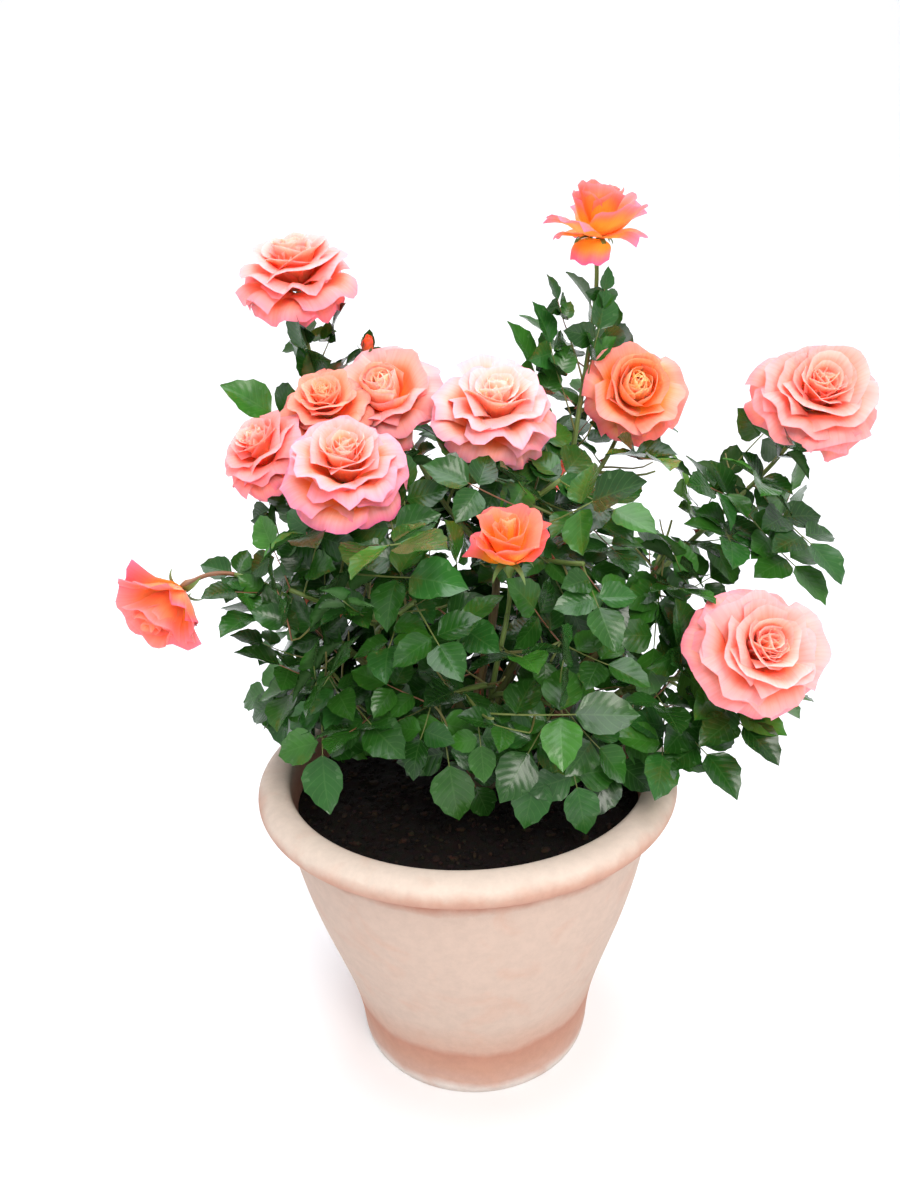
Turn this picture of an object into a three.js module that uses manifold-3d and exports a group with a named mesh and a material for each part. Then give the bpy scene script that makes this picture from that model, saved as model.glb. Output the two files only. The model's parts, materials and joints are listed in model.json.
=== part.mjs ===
// A rose bush in full bloom, planted in a terracotta pot with a rolled rim.
// Millimetres, +Z up, +X to the right and -Y to the front, with the origin at the centre of the pot's
// underside. The bush is one clump: a knuckle at soil level, the canes that spring from it, and the
// shoots that the canes carry. The shoots of one cane and their leaves are one mass, and most shoots
// end in a bloom on its own stalk.

import * as THREE from "three";
import { mergeVertices } from "three/addons/utils/BufferGeometryUtils.js";
import Module from "manifold-3d";

const wasm = await Module();
wasm.setup();

// Driving dimensions of the pot
const POT_HEIGHT = 341;
const RIM_RADIUS = 230;
const MOUTH_RADIUS = 195;
const FOOT_RADIUS = 135;
const NECK_RADIUS = 205; // where the wall runs in under the rolled rim
const RIM_DEPTH = 29;
const RIM_ROLL = 19; // from the rim's middle to its outermost point
const WALL = 14;
const FLOOR = 16;
const POT_SIDES = 32;
const SOIL_BELOW_RIM = 35;
const DRAIN = { count: 3, radius: 9, pitchRadius: 62, sides: 8 };

// Driving dimensions of the bush
const CLEAR = 0.3; // kept between neighbouring solids
const FOOT = new THREE.Vector3(15, 25, POT_HEIGHT - SOIL_BELOW_RIM + CLEAR);
const KNUCKLE = { flare: 34, waist: 22, radius: 28, centreHeight: 38, sides: 12 };
const CANE = { base: 6.2, tip: 4.3, sides: 6, steps: 6 };
const STEM = { base: 3.5, tip: 2.6, sides: 4, steps: 3 };
const STALK = { base: 2.5, tip: 5.5, sides: 5, steps: 3, flare: 5, length: 48 };
const TWIG = { base: 2.2, tip: 1.7, sides: 3, steps: 2, length: 75, leaves: 2 };
const RACHIS = { base: 1.8, tip: 1.4, sides: 3, steps: 1, length: 66 };
const LEAFLET = { length: 70, width: 54, fold: 5, hang: 9 };
const HUB = 2; // half the thickness of a leaf where its blades meet
const TRIO = [
  { turn: -84, offset: 4, share: 0.84 },
  { turn: 0, offset: 14, share: 1 },
  { turn: 84, offset: 4, share: 0.84 },
];
const LOWER_PAIR = { turn: 74, share: 0.78, along: 0.45 };
const LEAF_TURN = THREE.MathUtils.degToRad(137.5); // round the stem, from one leaf to the next
const NEXT_TRY = THREE.MathUtils.degToRad(63); // on round the stem, where a leaf found no room
const LEAF_TRIES = 16;
const SEED = 13;
const BORDER = 20; // how far a leaf may reach into the zone between two neighbouring masses

// Leaves stay inside the crown, an upright egg with flattened ends about this centre, or near their own
// stem, where they are smaller. The crown is bare inside, where little light comes.
const CROWN = { centre: [5, 25, 530], radii: [236, 210, 190], flatness: 6, sleeve: 70, bare: 0.14 };
const OUTER_SHARE = 0.78; // size of the leaves outside the crown
const SHOWN_DEPTH = 110; // how far in front of a bloom no leaf stands

// Canes: the way each leaves the knuckle, in degrees, and where its woody part ends, from the pot's
// origin. The first shoot of a cane runs on from its tip as the stem of its mass of leaves, and the
// others fork from that stem at a share of the stem's length. A shoot has its counts of side twigs and
// of leaves, and its bloom, or the tip of its stem where it has none. A bloom has its centre, the way
// it faces, its diameter, and its form.
const CANES = {
  left: {
    azimuth: 190, rise: 35, tip: [-112, 5, 468],
    shoots: {
      far_left: {
        twigs: 1, leaves: 4,
        bloom: { at: [-299, -50, 563], faces: [-0.78, -0.35, -0.45], across: 80, form: "half" },
      },
      skirt_left: { from: 0.03, twigs: 1, leaves: 5, tip: [-150, -72, 462] },
    },
  },
  front_left: {
    azimuth: 215, rise: 60, tip: [-86, -18, 500],
    shoots: {
      front_left: {
        twigs: 1, leaves: 3,
        bloom: { at: [-101, -69, 691], faces: [0.05, -0.7, 0.72], across: 128, form: "open" },
      },
      left: {
        from: 0.16, twigs: 1, leaves: 4,
        bloom: { at: [-201, 15, 685], faces: [-0.35, -0.65, 0.65], across: 94, form: "open" },
      },
      inner_left: { from: 0.08, twigs: 1, leaves: 4, tip: [-165, -62, 570] },
      inner_front: { from: 0.04, twigs: 1, leaves: 4, tip: [-42, -110, 570] },
    },
  },
  centre_left: {
    azimuth: 150, rise: 62, tip: [-66, 60, 540],
    shoots: {
      top_left: {
        twigs: 1, leaves: 4,
        bloom: { at: [-157, 106, 846], faces: [0, -0.45, 0.9], across: 122, form: "open" },
      },
      bud: {
        from: 0.25, twigs: 0, leaves: 2,
        bloom: { at: [-88, 118, 784], faces: [0.1, -0.3, 1], across: 17, form: "bud" },
      },
      upper_left: {
        from: 0.14, twigs: 0, leaves: 2,
        bloom: { at: [-129, 41, 737], faces: [0, -0.6, 0.8], across: 100, form: "open" },
      },
    },
  },
  centre: {
    azimuth: 250, rise: 86, tip: [40, 34, 545],
    shoots: {
      centre: {
        twigs: 1, leaves: 3,
        bloom: { at: [46, 22, 724], faces: [0.15, -0.55, 0.82], across: 130, form: "open" },
      },
      mid_left: {
        from: 0.12, twigs: 1, leaves: 3,
        bloom: { at: [-58, 76, 732], faces: [-0.1, -0.72, 0.68], across: 106, form: "open" },
      },
      inner_centre: { from: 0.3, twigs: 1, leaves: 4, tip: [104, -6, 655] },
      inner_middle: { from: 0.05, twigs: 1, leaves: 4, tip: [118, -78, 590] },
    },
  },
  front: {
    azimuth: 275, rise: 42, tip: [28, -52, 440],
    shoots: {
      front: {
        twigs: 1, leaves: 4,
        bloom: { at: [49, -105, 621], faces: [0.02, -0.22, 0.97], across: 66, form: "half" },
      },
      skirt_front: { from: 0.1, twigs: 1, leaves: 5, tip: [-34, -118, 470] },
      skirt_middle: { from: 0.03, twigs: 1, leaves: 5, tip: [96, -108, 456] },
    },
  },
  right: {
    azimuth: 30, rise: 64, tip: [118, 82, 590],
    shoots: {
      top_right: {
        twigs: 1, leaves: 5,
        bloom: { at: [160, 96, 892], faces: [0.08, -0.2, 0.97], across: 86, form: "half" },
      },
      right: {
        from: 0.06, twigs: 1, leaves: 4,
        bloom: { at: [195, 80, 731], faces: [0.02, -0.88, 0.46], across: 108, form: "open" },
      },
    },
  },
  far_right: {
    azimuth: 5, rise: 38, tip: [178, 18, 500],
    shoots: {
      far_right: {
        twigs: 1, leaves: 5,
        bloom: { at: [355, -5, 727], faces: [0.05, -0.75, 0.65], across: 128, form: "open" },
      },
      inner_right: { from: 0.04, twigs: 1, leaves: 5, tip: [214, -26, 590] },
    },
  },
  low_right: {
    azimuth: 330, rise: 20, tip: [170, -20, 428],
    shoots: {
      low_right: {
        twigs: 1, leaves: 3,
        bloom: { at: [272, -126, 510], faces: [0.1, -0.8, 0.58], across: 136, form: "open" },
      },
      skirt_right: { from: 0.04, twigs: 1, leaves: 5, tip: [214, -66, 420] },
    },
  },
  back_left: {
    azimuth: 122, rise: 36, tip: [-74, 132, 465],
    shoots: {
      back_left: {
        twigs: 1, leaves: 4,
        bloom: { at: [-112, 214, 668], faces: [-0.2, 0.75, 0.62], across: 108, form: "open" },
      },
      skirt_back_left: { from: 0.04, twigs: 1, leaves: 5, tip: [-160, 150, 480] },
      inner_back: { from: 0.1, twigs: 1, leaves: 4, tip: [-8, 180, 600] },
    },
  },
  back_right: {
    azimuth: 62, rise: 38, tip: [86, 140, 470],
    shoots: {
      back_right: {
        twigs: 1, leaves: 4,
        bloom: { at: [88, 232, 640], faces: [0.2, 0.8, 0.56], across: 112, form: "open" },
      },
      skirt_back: { from: 0.04, twigs: 1, leaves: 4, tip: [12, 190, 480] },
      skirt_back_right: { from: 0.1, twigs: 1, leaves: 5, tip: [178, 140, 490] },
    },
  },
};

const UP = new THREE.Vector3(0, 0, 1);
const vector = (xyz) => new THREE.Vector3(...xyz);
const inBush = (xyz) => vector(xyz).sub(FOOT);
const facesOf = (bloom) => vector(bloom.faces).normalize();

const FINISH = {
  terracotta: new THREE.MeshStandardMaterial({ color: 0xe6c9b4, roughness: 0.85, metalness: 0 }),
  compost: new THREE.MeshStandardMaterial({ color: 0x2a201b, roughness: 1, metalness: 0 }),
  cane: new THREE.MeshStandardMaterial({ color: 0x6f6a3a, roughness: 0.6, metalness: 0 }),
  leaf: new THREE.MeshStandardMaterial({ color: 0x2f6b2c, roughness: 0.35, metalness: 0 }),
  petal: new THREE.MeshStandardMaterial({ color: 0xf79a8b, roughness: 0.6, metalness: 0 }),
};

// Seeded random numbers, so that the bush grows the same way each time.
function seeded(seed) {
  let state = seed >>> 0;
  return (low, high) => {
    state = (Math.imul(state, 1664525) + 1013904223) >>> 0;
    return low + ((high - low) * state) / 4294967296;
  };
}

// A closed geometry as a solid that can be joined and cut.
function solid(geometry) {
  const bare = new THREE.BufferGeometry();
  bare.setAttribute("position", geometry.getAttribute("position"));
  bare.setIndex(geometry.index);
  const merged = mergeVertices(bare, 1e-4);
  return new wasm.Manifold(
    new wasm.Mesh({
      numProp: 3,
      vertProperties: new Float32Array(merged.attributes.position.array),
      triVerts: new Uint32Array(merged.index.array),
    }),
  );
}

function geometryOf(made) {
  const mesh = made.getMesh();
  const geometry = new THREE.BufferGeometry();
  geometry.setAttribute("position", new THREE.BufferAttribute(new Float32Array(mesh.vertProperties), 3));
  geometry.setIndex(new THREE.BufferAttribute(new Uint32Array(mesh.triVerts), 1));
  geometry.computeVertexNormals();
  return geometry;
}

// Joins solids into one, and drops any scrap that doesn't touch the largest piece.
function fuse(solids) {
  const pieces = wasm.Manifold.union(solids).decompose();
  return pieces.reduce((kept, piece) => (piece.volume() > kept.volume() ? piece : kept));
}

function node(name, geometry, finish) {
  const mesh = new THREE.Mesh(geometry, finish);
  mesh.name = name;
  return mesh;
}

// Turns a geometry's own vertices into others by a rule.
function bend(geometry, rule) {
  const place = geometry.getAttribute("position");
  const point = new THREE.Vector3();
  for (let i = 0; i < place.count; i += 1) {
    point.fromBufferAttribute(place, i);
    rule(point);
    place.setXYZ(i, point.x, point.y, point.z);
  }
  return geometry;
}

// Which of the equal steps round a circle a point stands on, counted from the circle's start at (1, 0).
function columnOf(x, y, steps) {
  return (Math.round((Math.atan2(y, x) / (2 * Math.PI)) * steps) + steps) % steps;
}

// A tapering limb: a cylinder whose rings are carried onto a curve. A flare above 1 keeps the change of
// radius back for the limb's far end.
function limb(curve, { base, tip, sides, steps, flare = 1 }, extra = 0) {
  const frames = curve.computeFrenetFrames(steps);
  const shape = new THREE.CylinderGeometry(1, 1, 1, sides, steps);
  return bend(shape, (point) => {
    const ring = Math.round((point.y + 0.5) * steps);
    const radius = THREE.MathUtils.lerp(base, tip, (ring / steps) ** flare) + extra;
    const across = frames.normals[ring].clone().multiplyScalar(point.x * radius);
    const aside = frames.binormals[ring].clone().multiplyScalar(-point.z * radius);
    point.copy(curve.getPointAt(ring / steps)).add(across).add(aside);
  });
}

// A curve that leaves start along one direction and reaches end along another.
function arc(start, startDirection, end, endDirection, pull = 0.38) {
  const reach = start.distanceTo(end) * pull;
  return new THREE.CubicBezierCurve3(
    start,
    start.clone().addScaledVector(startDirection, reach),
    end.clone().addScaledVector(endDirection, -reach),
    end,
  );
}

// The stretch of a curve between two shares of its length, as a curve of its own.
function stretch(curve, from, to) {
  const start = curve.getPointAt(from);
  const end = curve.getPointAt(to);
  return arc(start, curve.getTangentAt(from), end, curve.getTangentAt(to), 1 / 3);
}

// Pot

function bodyCurve(inset) {
  return new THREE.CubicBezierCurve(
    new THREE.Vector2(FOOT_RADIUS - inset, 0),
    new THREE.Vector2(FOOT_RADIUS + 4 - inset, 110),
    new THREE.Vector2(NECK_RADIUS - 17 - inset, 160),
    new THREE.Vector2(NECK_RADIUS - inset, POT_HEIGHT - RIM_DEPTH),
  );
}

function innerWall(inset, top) {
  return bodyCurve(inset)
    .getPoints(7)
    .filter((point) => point.y > FLOOR + 12 && point.y < top - 8);
}

function lathe(profile) {
  return new THREE.LatheGeometry(profile, POT_SIDES).rotateX(Math.PI / 2);
}

function potSolid() {
  const chamfer = 3;
  const rimMiddle = new THREE.Vector2(RIM_RADIUS - RIM_ROLL, POT_HEIGHT - RIM_DEPTH / 2);
  const roll = [-90, -52, -17, 17, 52, 90].map((degrees) => {
    const turn = THREE.MathUtils.degToRad(degrees);
    const outwards = new THREE.Vector2(RIM_ROLL * Math.cos(turn), (RIM_DEPTH / 2) * Math.sin(turn));
    return rimMiddle.clone().add(outwards);
  });
  const profile = [
    new THREE.Vector2(0, 0),
    new THREE.Vector2(FOOT_RADIUS - chamfer, 0),
    new THREE.Vector2(FOOT_RADIUS, chamfer),
    ...bodyCurve(0).getPoints(7).slice(1),
    ...roll,
    new THREE.Vector2(MOUTH_RADIUS, POT_HEIGHT - 4),
    ...innerWall(WALL, POT_HEIGHT - RIM_DEPTH).reverse(),
    new THREE.Vector2(FOOT_RADIUS - WALL - 8, FLOOR),
    new THREE.Vector2(0, FLOOR),
  ];
  const drains = Array.from({ length: DRAIN.count }, (_, i) => {
    const turn = (2 * Math.PI * i) / DRAIN.count;
    const hole = new THREE.CylinderGeometry(DRAIN.radius, DRAIN.radius, 3 * FLOOR, DRAIN.sides);
    hole.rotateX(Math.PI / 2);
    hole.translate(DRAIN.pitchRadius * Math.cos(turn), DRAIN.pitchRadius * Math.sin(turn), 0);
    return solid(hole);
  });
  return solid(lathe(profile)).subtract(wasm.Manifold.union(drains));
}

function soilSolid() {
  const top = POT_HEIGHT - SOIL_BELOW_RIM;
  const wall = innerWall(WALL + CLEAR, top);
  const last = wall.at(-1);
  const share = (top - last.y) / (POT_HEIGHT - RIM_DEPTH - last.y);
  const brim = THREE.MathUtils.lerp(last.x, NECK_RADIUS - WALL - CLEAR, share) - 1;
  const profile = [
    new THREE.Vector2(0, FLOOR + CLEAR),
    new THREE.Vector2(FOOT_RADIUS - WALL - 8 - CLEAR, FLOOR + CLEAR),
    ...wall,
    new THREE.Vector2(brim, top),
    new THREE.Vector2(0, top),
  ];
  return solid(lathe(profile));
}

// Knuckle and canes

function knuckleSolid() {
  const ball = [-35, 0, 20, 40, 65, 90].map((degrees) => {
    const turn = THREE.MathUtils.degToRad(degrees);
    const height = KNUCKLE.centreHeight + KNUCKLE.radius * Math.sin(turn);
    return new THREE.Vector2(degrees === 90 ? 0 : KNUCKLE.radius * Math.cos(turn), height);
  });
  const profile = [
    new THREE.Vector2(0, 0),
    new THREE.Vector2(KNUCKLE.flare, 0),
    new THREE.Vector2(KNUCKLE.waist + 4, 7),
    new THREE.Vector2(KNUCKLE.waist, 16),
    ...ball,
  ];
  return solid(new THREE.LatheGeometry(profile, KNUCKLE.sides).rotateX(Math.PI / 2));
}

// Where a shoot's line ends: at the tip of its stem, or behind its bloom.
function shootEnd({ tip, bloom }) {
  if (tip) return inBush(tip);
  const depth = { open: 0.24, half: 0.42, bud: 0.9 }[bloom.form] * bloom.across;
  return inBush(bloom.at).addScaledVector(facesOf(bloom), -depth);
}

function caneCurve({ azimuth, rise, tip, shoots }) {
  const [turn, lift] = [azimuth, rise].map(THREE.MathUtils.degToRad);
  const leaves = new THREE.Vector3(Math.cos(lift), 0, Math.sin(lift)).applyAxisAngle(UP, turn);
  const start = new THREE.Vector3(0, 0, KNUCKLE.centreHeight);
  start.addScaledVector(leaves, KNUCKLE.radius + CLEAR);
  const onwards = shootEnd(Object.values(shoots)[0]).sub(inBush(tip)).normalize().addScaledVector(UP, 0.35);
  return arc(start, leaves, inBush(tip), onwards.normalize());
}

// Shoots

// The line of a shoot from a point and a direction to its tip or to the base of its bloom.
function shootCurve(shoot, start, leaves) {
  const end = shootEnd(shoot);
  const arrives = shoot.bloom ? facesOf(shoot.bloom).lerp(UP, 0.25) : end.clone().sub(start);
  return arc(start, leaves, end, arrives.normalize());
}

// A shoot that forks from another leaves its middle line, half along it and half towards its own end.
function forkCurve(leader, shoot) {
  const fork = leader.getPointAt(shoot.from);
  const along = leader.getTangentAt(shoot.from);
  const side = shootEnd(shoot).sub(fork);
  side.addScaledVector(along, -side.dot(along)).normalize();
  return shootCurve(shoot, fork, along.multiplyScalar(0.8).add(side).normalize());
}

// All the lines of one cane: its own, and those of its shoots by name.
function linesOf(cane) {
  const own = caneCurve(cane);
  const [[leaderName, leaderShoot], ...forks] = Object.entries(cane.shoots);
  const tip = own.getPointAt(1).addScaledVector(own.getTangentAt(1), CLEAR);
  const leader = shootCurve(leaderShoot, tip, own.getTangentAt(1));
  const forked = forks.map(([name, shoot]) => [name, forkCurve(leader, shoot)]);
  return { own, shoots: Object.fromEntries([[leaderName, leader], ...forked]) };
}

const lines = Object.fromEntries(Object.entries(CANES).map(([name, cane]) => [name, linesOf(cane)]));

// Where a shoot's leafy stem ends and its bloom's bare stalk begins, as a share of the shoot's length.
function stalkShare(shoot, line) {
  return shoot.bloom ? 1 - STALK.length / line.getLength() : 1;
}

function stemLine(cane, name) {
  const line = lines[cane].shoots[name];
  return stretch(line, 0, stalkShare(CANES[cane].shoots[name], line));
}

// Blooms

// A bloom is one solid of rings of petals, each ring overhanging the one below. Its profile is drawn in
// shares of its radius, from the underside's middle over each margin and valley to the heart. At each
// point it tells how far in the notches between petals go, and by how many thirds of a petal the ring
// is turned.
const FORMS = {
  open: {
    sides: 15,
    rings: [
      { out: 0, up: -0.04 },
      { out: 0.5, up: 0.14 },
      { out: 1, up: 0.2, notch: 0.2 },
      { out: 0.8, up: 0.42, notch: 0.14 },
      { out: 0.58, up: 0.36 },
      { out: 0.76, up: 0.6, notch: 0.2, turned: 1 },
      { out: 0.38, up: 0.52 },
      { out: 0.47, up: 0.79, notch: 0.2, turned: 2 },
      { out: 0.18, up: 0.62 },
      { out: 0, up: 0.84 },
    ],
  },
  half: {
    sides: 12,
    rings: [
      { out: 0, up: -0.06 },
      { out: 0.48, up: 0.2 },
      { out: 0.74, up: 0.72, notch: 0.06 },
      { out: 1, up: 0.62, notch: 0.24 },
      { out: 0.84, up: 0.98, notch: 0.14 },
      { out: 0.5, up: 0.86 },
      { out: 0.7, up: 1.3, notch: 0.16, turned: 1 },
      { out: 0.36, up: 1.16 },
      { out: 0.28, up: 1.66, notch: 0.2, turned: 2 },
      { out: 0, up: 1.5 },
    ],
  },
  bud: {
    sides: 6,
    rings: [
      { out: 0, up: -0.06 },
      { out: 0.96, up: 0.5 },
      { out: 1, up: 1.3, notch: 0.08 },
      { out: 0.52, up: 2.5, notch: 0.3 },
      { out: 0, up: 2.8 },
    ],
  },
};

function blossomGeometry(form, radius) {
  const { sides, rings } = FORMS[form];
  const profile = rings.map(({ out, up }) => new THREE.Vector2(out * radius, up * radius));
  const shape = new THREE.LatheGeometry(profile, sides).rotateX(Math.PI / 2);
  const farOff = (ring, height) => Math.abs(ring.up * radius - height);
  return bend(shape, (point) => {
    const nearer = (best, ring) => (farOff(ring, point.z) < farOff(best, point.z) ? ring : best);
    const { notch = 0, turned = 0 } = rings.reduce(nearer);
    const inwards = (columnOf(-point.y, point.x, sides) + turned) % 3 === 0 ? 1 - notch : 1;
    point.set(point.x * inwards, point.y * inwards, point.z + notch * radius * (1 - inwards));
  });
}

function bloomSolid(shoot, line) {
  const { form, across } = shoot.bloom;
  const turn = new THREE.Quaternion().setFromUnitVectors(UP, facesOf(shoot.bloom));
  const place = new THREE.Matrix4().compose(shootEnd(shoot), turn, new THREE.Vector3(1, 1, 1));
  const share = stalkShare(shoot, line) + CLEAR / line.getLength();
  const stalk = solid(limb(stretch(line, share, 1), STALK));
  return fuse([stalk, solid(blossomGeometry(form, across / 2).applyMatrix4(place))]);
}

// Leaves

const stemSamples = Object.fromEntries(
  Object.entries(lines).map(([cane, { shoots }]) => [
    cane,
    Object.values(shoots).flatMap((line) => line.getSpacedPoints(12)),
  ]),
);

const bloomsShown = Object.values(CANES)
  .flatMap(({ shoots }) => Object.values(shoots))
  .filter(({ bloom }) => bloom)
  .map(({ bloom }) => ({
    centre: inBush(bloom.at),
    faces: facesOf(bloom),
    radius: bloom.across / 2 + 12,
  }));

// How far out in the crown a point lies: 0 at its middle, 1 on its outline.
function depthInCrown(point) {
  const share = inBush(CROWN.centre).sub(point).divide(vector(CROWN.radii));
  return share.x ** 2 + share.y ** 2 + Math.abs(share.z) ** CROWN.flatness;
}

// A mass's own space is what lies nearer to its own stems than to any other mass's, inside the crown's
// outline.
function inOwnSpace(cane, point) {
  const nearest = (samples) => Math.min(...samples.map((sample) => sample.distanceTo(point)));
  const own = nearest(stemSamples[cane]);
  if (depthInCrown(point) > 1 && own > CROWN.sleeve) return false;
  return Object.keys(CANES).every((other) => other === cane || nearest(stemSamples[other]) > own - BORDER);
}

function boxesMeet(a, b) {
  return [0, 1, 2].every((axis) => a.min[axis] <= b.max[axis] && b.min[axis] <= a.max[axis]);
}

// Everything placed so far, which a new twig or leaf must stay clear of.
const placed = [];

function keep(made, owner) {
  placed.push({ made, owner, box: made.boundingBox() });
}

function isClear(fat, ignored, others = placed) {
  const box = fat.boundingBox();
  return others.every(
    (other) => other.owner === ignored || !boxesMeet(box, other.box) || fat.intersect(other.made).isEmpty(),
  );
}

// The outline of one leaflet, from its right side over its tip to its left side, about a hub that lies
// an offset behind its base. The sides are folded up a little, and the tip hangs.
function leafletOutline({ turn, offset, share }, size, hang) {
  const halves = [[0.36, 0.5], [0.74, 0.36], [1, 0], [0.74, -0.36], [0.36, -0.5]];
  return halves.map(([along, aside]) => {
    const lift = Math.abs(aside) * 2 * LEAFLET.fold - along * along * hang;
    const point = new THREE.Vector3(along * LEAFLET.length, -aside * LEAFLET.width, lift);
    point.multiplyScalar(share * size);
    point.x += offset * size;
    return point.applyAxisAngle(UP, THREE.MathUtils.degToRad(turn));
  });
}

// The hollow of an outline between two leaflets.
function hollow(turn, reach) {
  return new THREE.Vector3(reach, 0, 0).applyAxisAngle(UP, THREE.MathUtils.degToRad(turn));
}

// The three leaflets at a leaf's end, about the hub where they meet, in the plane of the leaf with the
// tip to +X.
function trioOutline(size, hang) {
  const [right, middle, left] = TRIO.map((leaflet) => leafletOutline(leaflet, size, hang));
  const notches = [38, 180, -38].map((turned) => hollow(turned, 6 * size));
  return [...middle.slice(2), notches[0], ...left, notches[1], ...right, notches[2], ...middle.slice(0, 2)];
}

// A leaflet by itself, about its own middle, with its base to -X.
function singleOutline(size, hang) {
  const middle = 0.42 * LEAFLET.length * LOWER_PAIR.share * size;
  const outline = leafletOutline({ turn: 0, offset: 0, share: LOWER_PAIR.share }, size, hang);
  outline.forEach((point) => {
    point.x -= middle;
  });
  return [...outline, new THREE.Vector3(-middle, 0, 0)];
}

// Blades that meet in a hub: a flat double pyramid over their outline, thickest at the hub and sharp at
// the edge. With extra thickness it keeps a slab round the edge too, for trying whether there is room.
function bladesGeometry(outline, extra = 0) {
  const shape = new THREE.SphereGeometry(1, outline.length, extra ? 3 : 2).rotateX(Math.PI / 2);
  return bend(shape, (point) => {
    const side = Math.sign(Math.round(point.z * 10));
    if (Math.abs(point.z) > 0.9) {
      point.set(0, 0, side * (HUB + extra));
      return;
    }
    const column = columnOf(-point.x, -point.y, outline.length);
    const edge = outline[column];
    const push = 1 + extra / edge.length();
    point.set(edge.x * push, edge.y * push, edge.z + side * extra);
  });
}

// The turn that brings +X to a direction and +Z towards the upper side.
function facing(direction, upper) {
  const z = upper.clone().addScaledVector(direction, -upper.dot(direction)).normalize();
  return new THREE.Quaternion().setFromRotationMatrix(
    new THREE.Matrix4().makeBasis(direction, z.clone().cross(direction), z),
  );
}

function blades(outline, hub, turn, extra = 0) {
  return solid(bladesGeometry(outline, extra).applyQuaternion(turn).translate(hub.x, hub.y, hub.z));
}

// Leaves look up, a little away from the middle of the bush, and a little to the front, where the
// light comes from.
function upperSide(point, [swayX, swayY]) {
  const out = new THREE.Vector3(point.x, point.y, 0).normalize().multiplyScalar(0.5);
  return out.add(UP).add(new THREE.Vector3(swayX, swayY - 0.3, 0)).normalize();
}

// Whether a point would hide a bloom from someone who looks into it.
function hidesBloom(point) {
  return bloomsShown.some(({ centre, faces, radius }) => {
    const away = point.clone().sub(centre);
    const ahead = away.dot(faces);
    return ahead > 0 && ahead < SHOWN_DEPTH && away.addScaledVector(faces, -ahead).length() < radius;
  });
}

// Blades about a hub, or nothing where they would leave the mass's own space or touch what stands
// there.
function bladesWithRoom(cane, outline, hub, turn, siblings = []) {
  const middle = outline[0].clone().setY(0).multiplyScalar(0.6).applyQuaternion(turn).add(hub);
  if (!inOwnSpace(cane, middle) || !inOwnSpace(cane, hub) || hidesBloom(middle)) return [];
  const fat = blades(outline, hub, turn, CLEAR * 1.3);
  if (!siblings.every((other) => fat.intersect(other).isEmpty()) || !isClear(fat, null)) return [];
  return [blades(outline, hub, turn)];
}

// A leaflet of the lower pair, on the rachis's left or right.
function lowerLeaflet(cane, joint, direction, side, drawn, siblings) {
  const upper = upperSide(joint, drawn.sways[side > 0 ? 1 : 2]);
  const turned = THREE.MathUtils.degToRad(side * LOWER_PAIR.turn);
  const points = direction.clone().applyAxisAngle(upper, turned);
  const outline = singleOutline(drawn.size, LEAFLET.hang * drawn.hang);
  const reach = outline.at(-1).length() - RACHIS.tip * 0.6;
  const middle = joint.clone().addScaledVector(points, reach);
  return bladesWithRoom(cane, outline, middle, facing(points, upper), siblings);
}

// One leaf: a three-sided rachis with three leaflets at its end, and a pair lower down where they
// have room.
function leafFrom(cane, at, direction, drawn) {
  const root = at.clone().addScaledVector(direction, 0.8);
  const hub = at.clone().addScaledVector(direction, RACHIS.length * drawn.size * drawn.reach);
  const line = new THREE.LineCurve3(root, hub);
  if (depthInCrown(hub) < CROWN.bare) return [];
  if (!isClear(solid(limb(line, RACHIS, CLEAR)), cane)) return [];
  const turn = facing(direction, upperSide(hub, drawn.sways[0]));
  const outline = trioOutline(drawn.size, LEAFLET.hang * drawn.hang);
  const grown = bladesWithRoom(cane, outline, hub, turn);
  if (!grown.length) return [];
  const joint = line.getPoint(LOWER_PAIR.along);
  [1, -1].forEach((side) => {
    grown.push(...lowerLeaflet(cane, joint, direction, side, drawn, grown));
  });
  return [...grown, solid(limb(line, RACHIS))];
}

// Tries a few headings for a leaf and keeps the first with all its parts, or else the one that has
// most of them. Later tries are smaller.
function growLeaf(cane, at, headingOf, random) {
  const outer = depthInCrown(at) > 1 ? OUTER_SHARE : 1;
  const tries = Array.from({ length: LEAF_TRIES }, (_, attempt) => ({
    size: outer * random(0.9, 1.12) * (1 - (0.4 * attempt) / LEAF_TRIES),
    reach: random(0.85, 1.15),
    hang: random(0.6, 1.6),
    sways: [0, 1, 2].map(() => [random(-0.35, 0.35), random(-0.35, 0.35)]),
  }));
  let best = [];
  for (let attempt = 0; attempt < LEAF_TRIES && best.length < 4; attempt += 1) {
    const leaf = leafFrom(cane, at, headingOf(attempt), tries[attempt]);
    if (leaf.length > best.length) best = leaf;
  }
  best.forEach((made) => keep(made, `${cane} leaf`));
  return best;
}

// A leaf's own direction where it leaves a stem: out to one side, on along the stem, and towards the
// light. The leaf at a stem's end runs straight on.
function leafDirection(along, turn, isLast = false) {
  if (isLast) return along.clone();
  const across = new THREE.Vector3(1, 0, 0).cross(along).normalize();
  const side = across.applyAxisAngle(along, turn);
  return side.addScaledVector(along, 0.45).addScaledVector(UP, 0.2).normalize();
}

// The leaves along a line, from its tip down, each turned on from the last.
function growLeavesOn(name, line, count, random) {
  const grown = [];
  const turned = random(0, 2 * Math.PI);
  for (let i = 0; i < count; i += 1) {
    const place = 0.99 - (0.75 * i) / count;
    const along = line.getTangentAt(place);
    const headingOf = (attempt) =>
      leafDirection(along, turned + i * LEAF_TURN + attempt * NEXT_TRY, attempt === 0 && i === 0);
    grown.push(...growLeaf(name, line.getPointAt(place), headingOf, random));
  }
  return grown;
}

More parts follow.
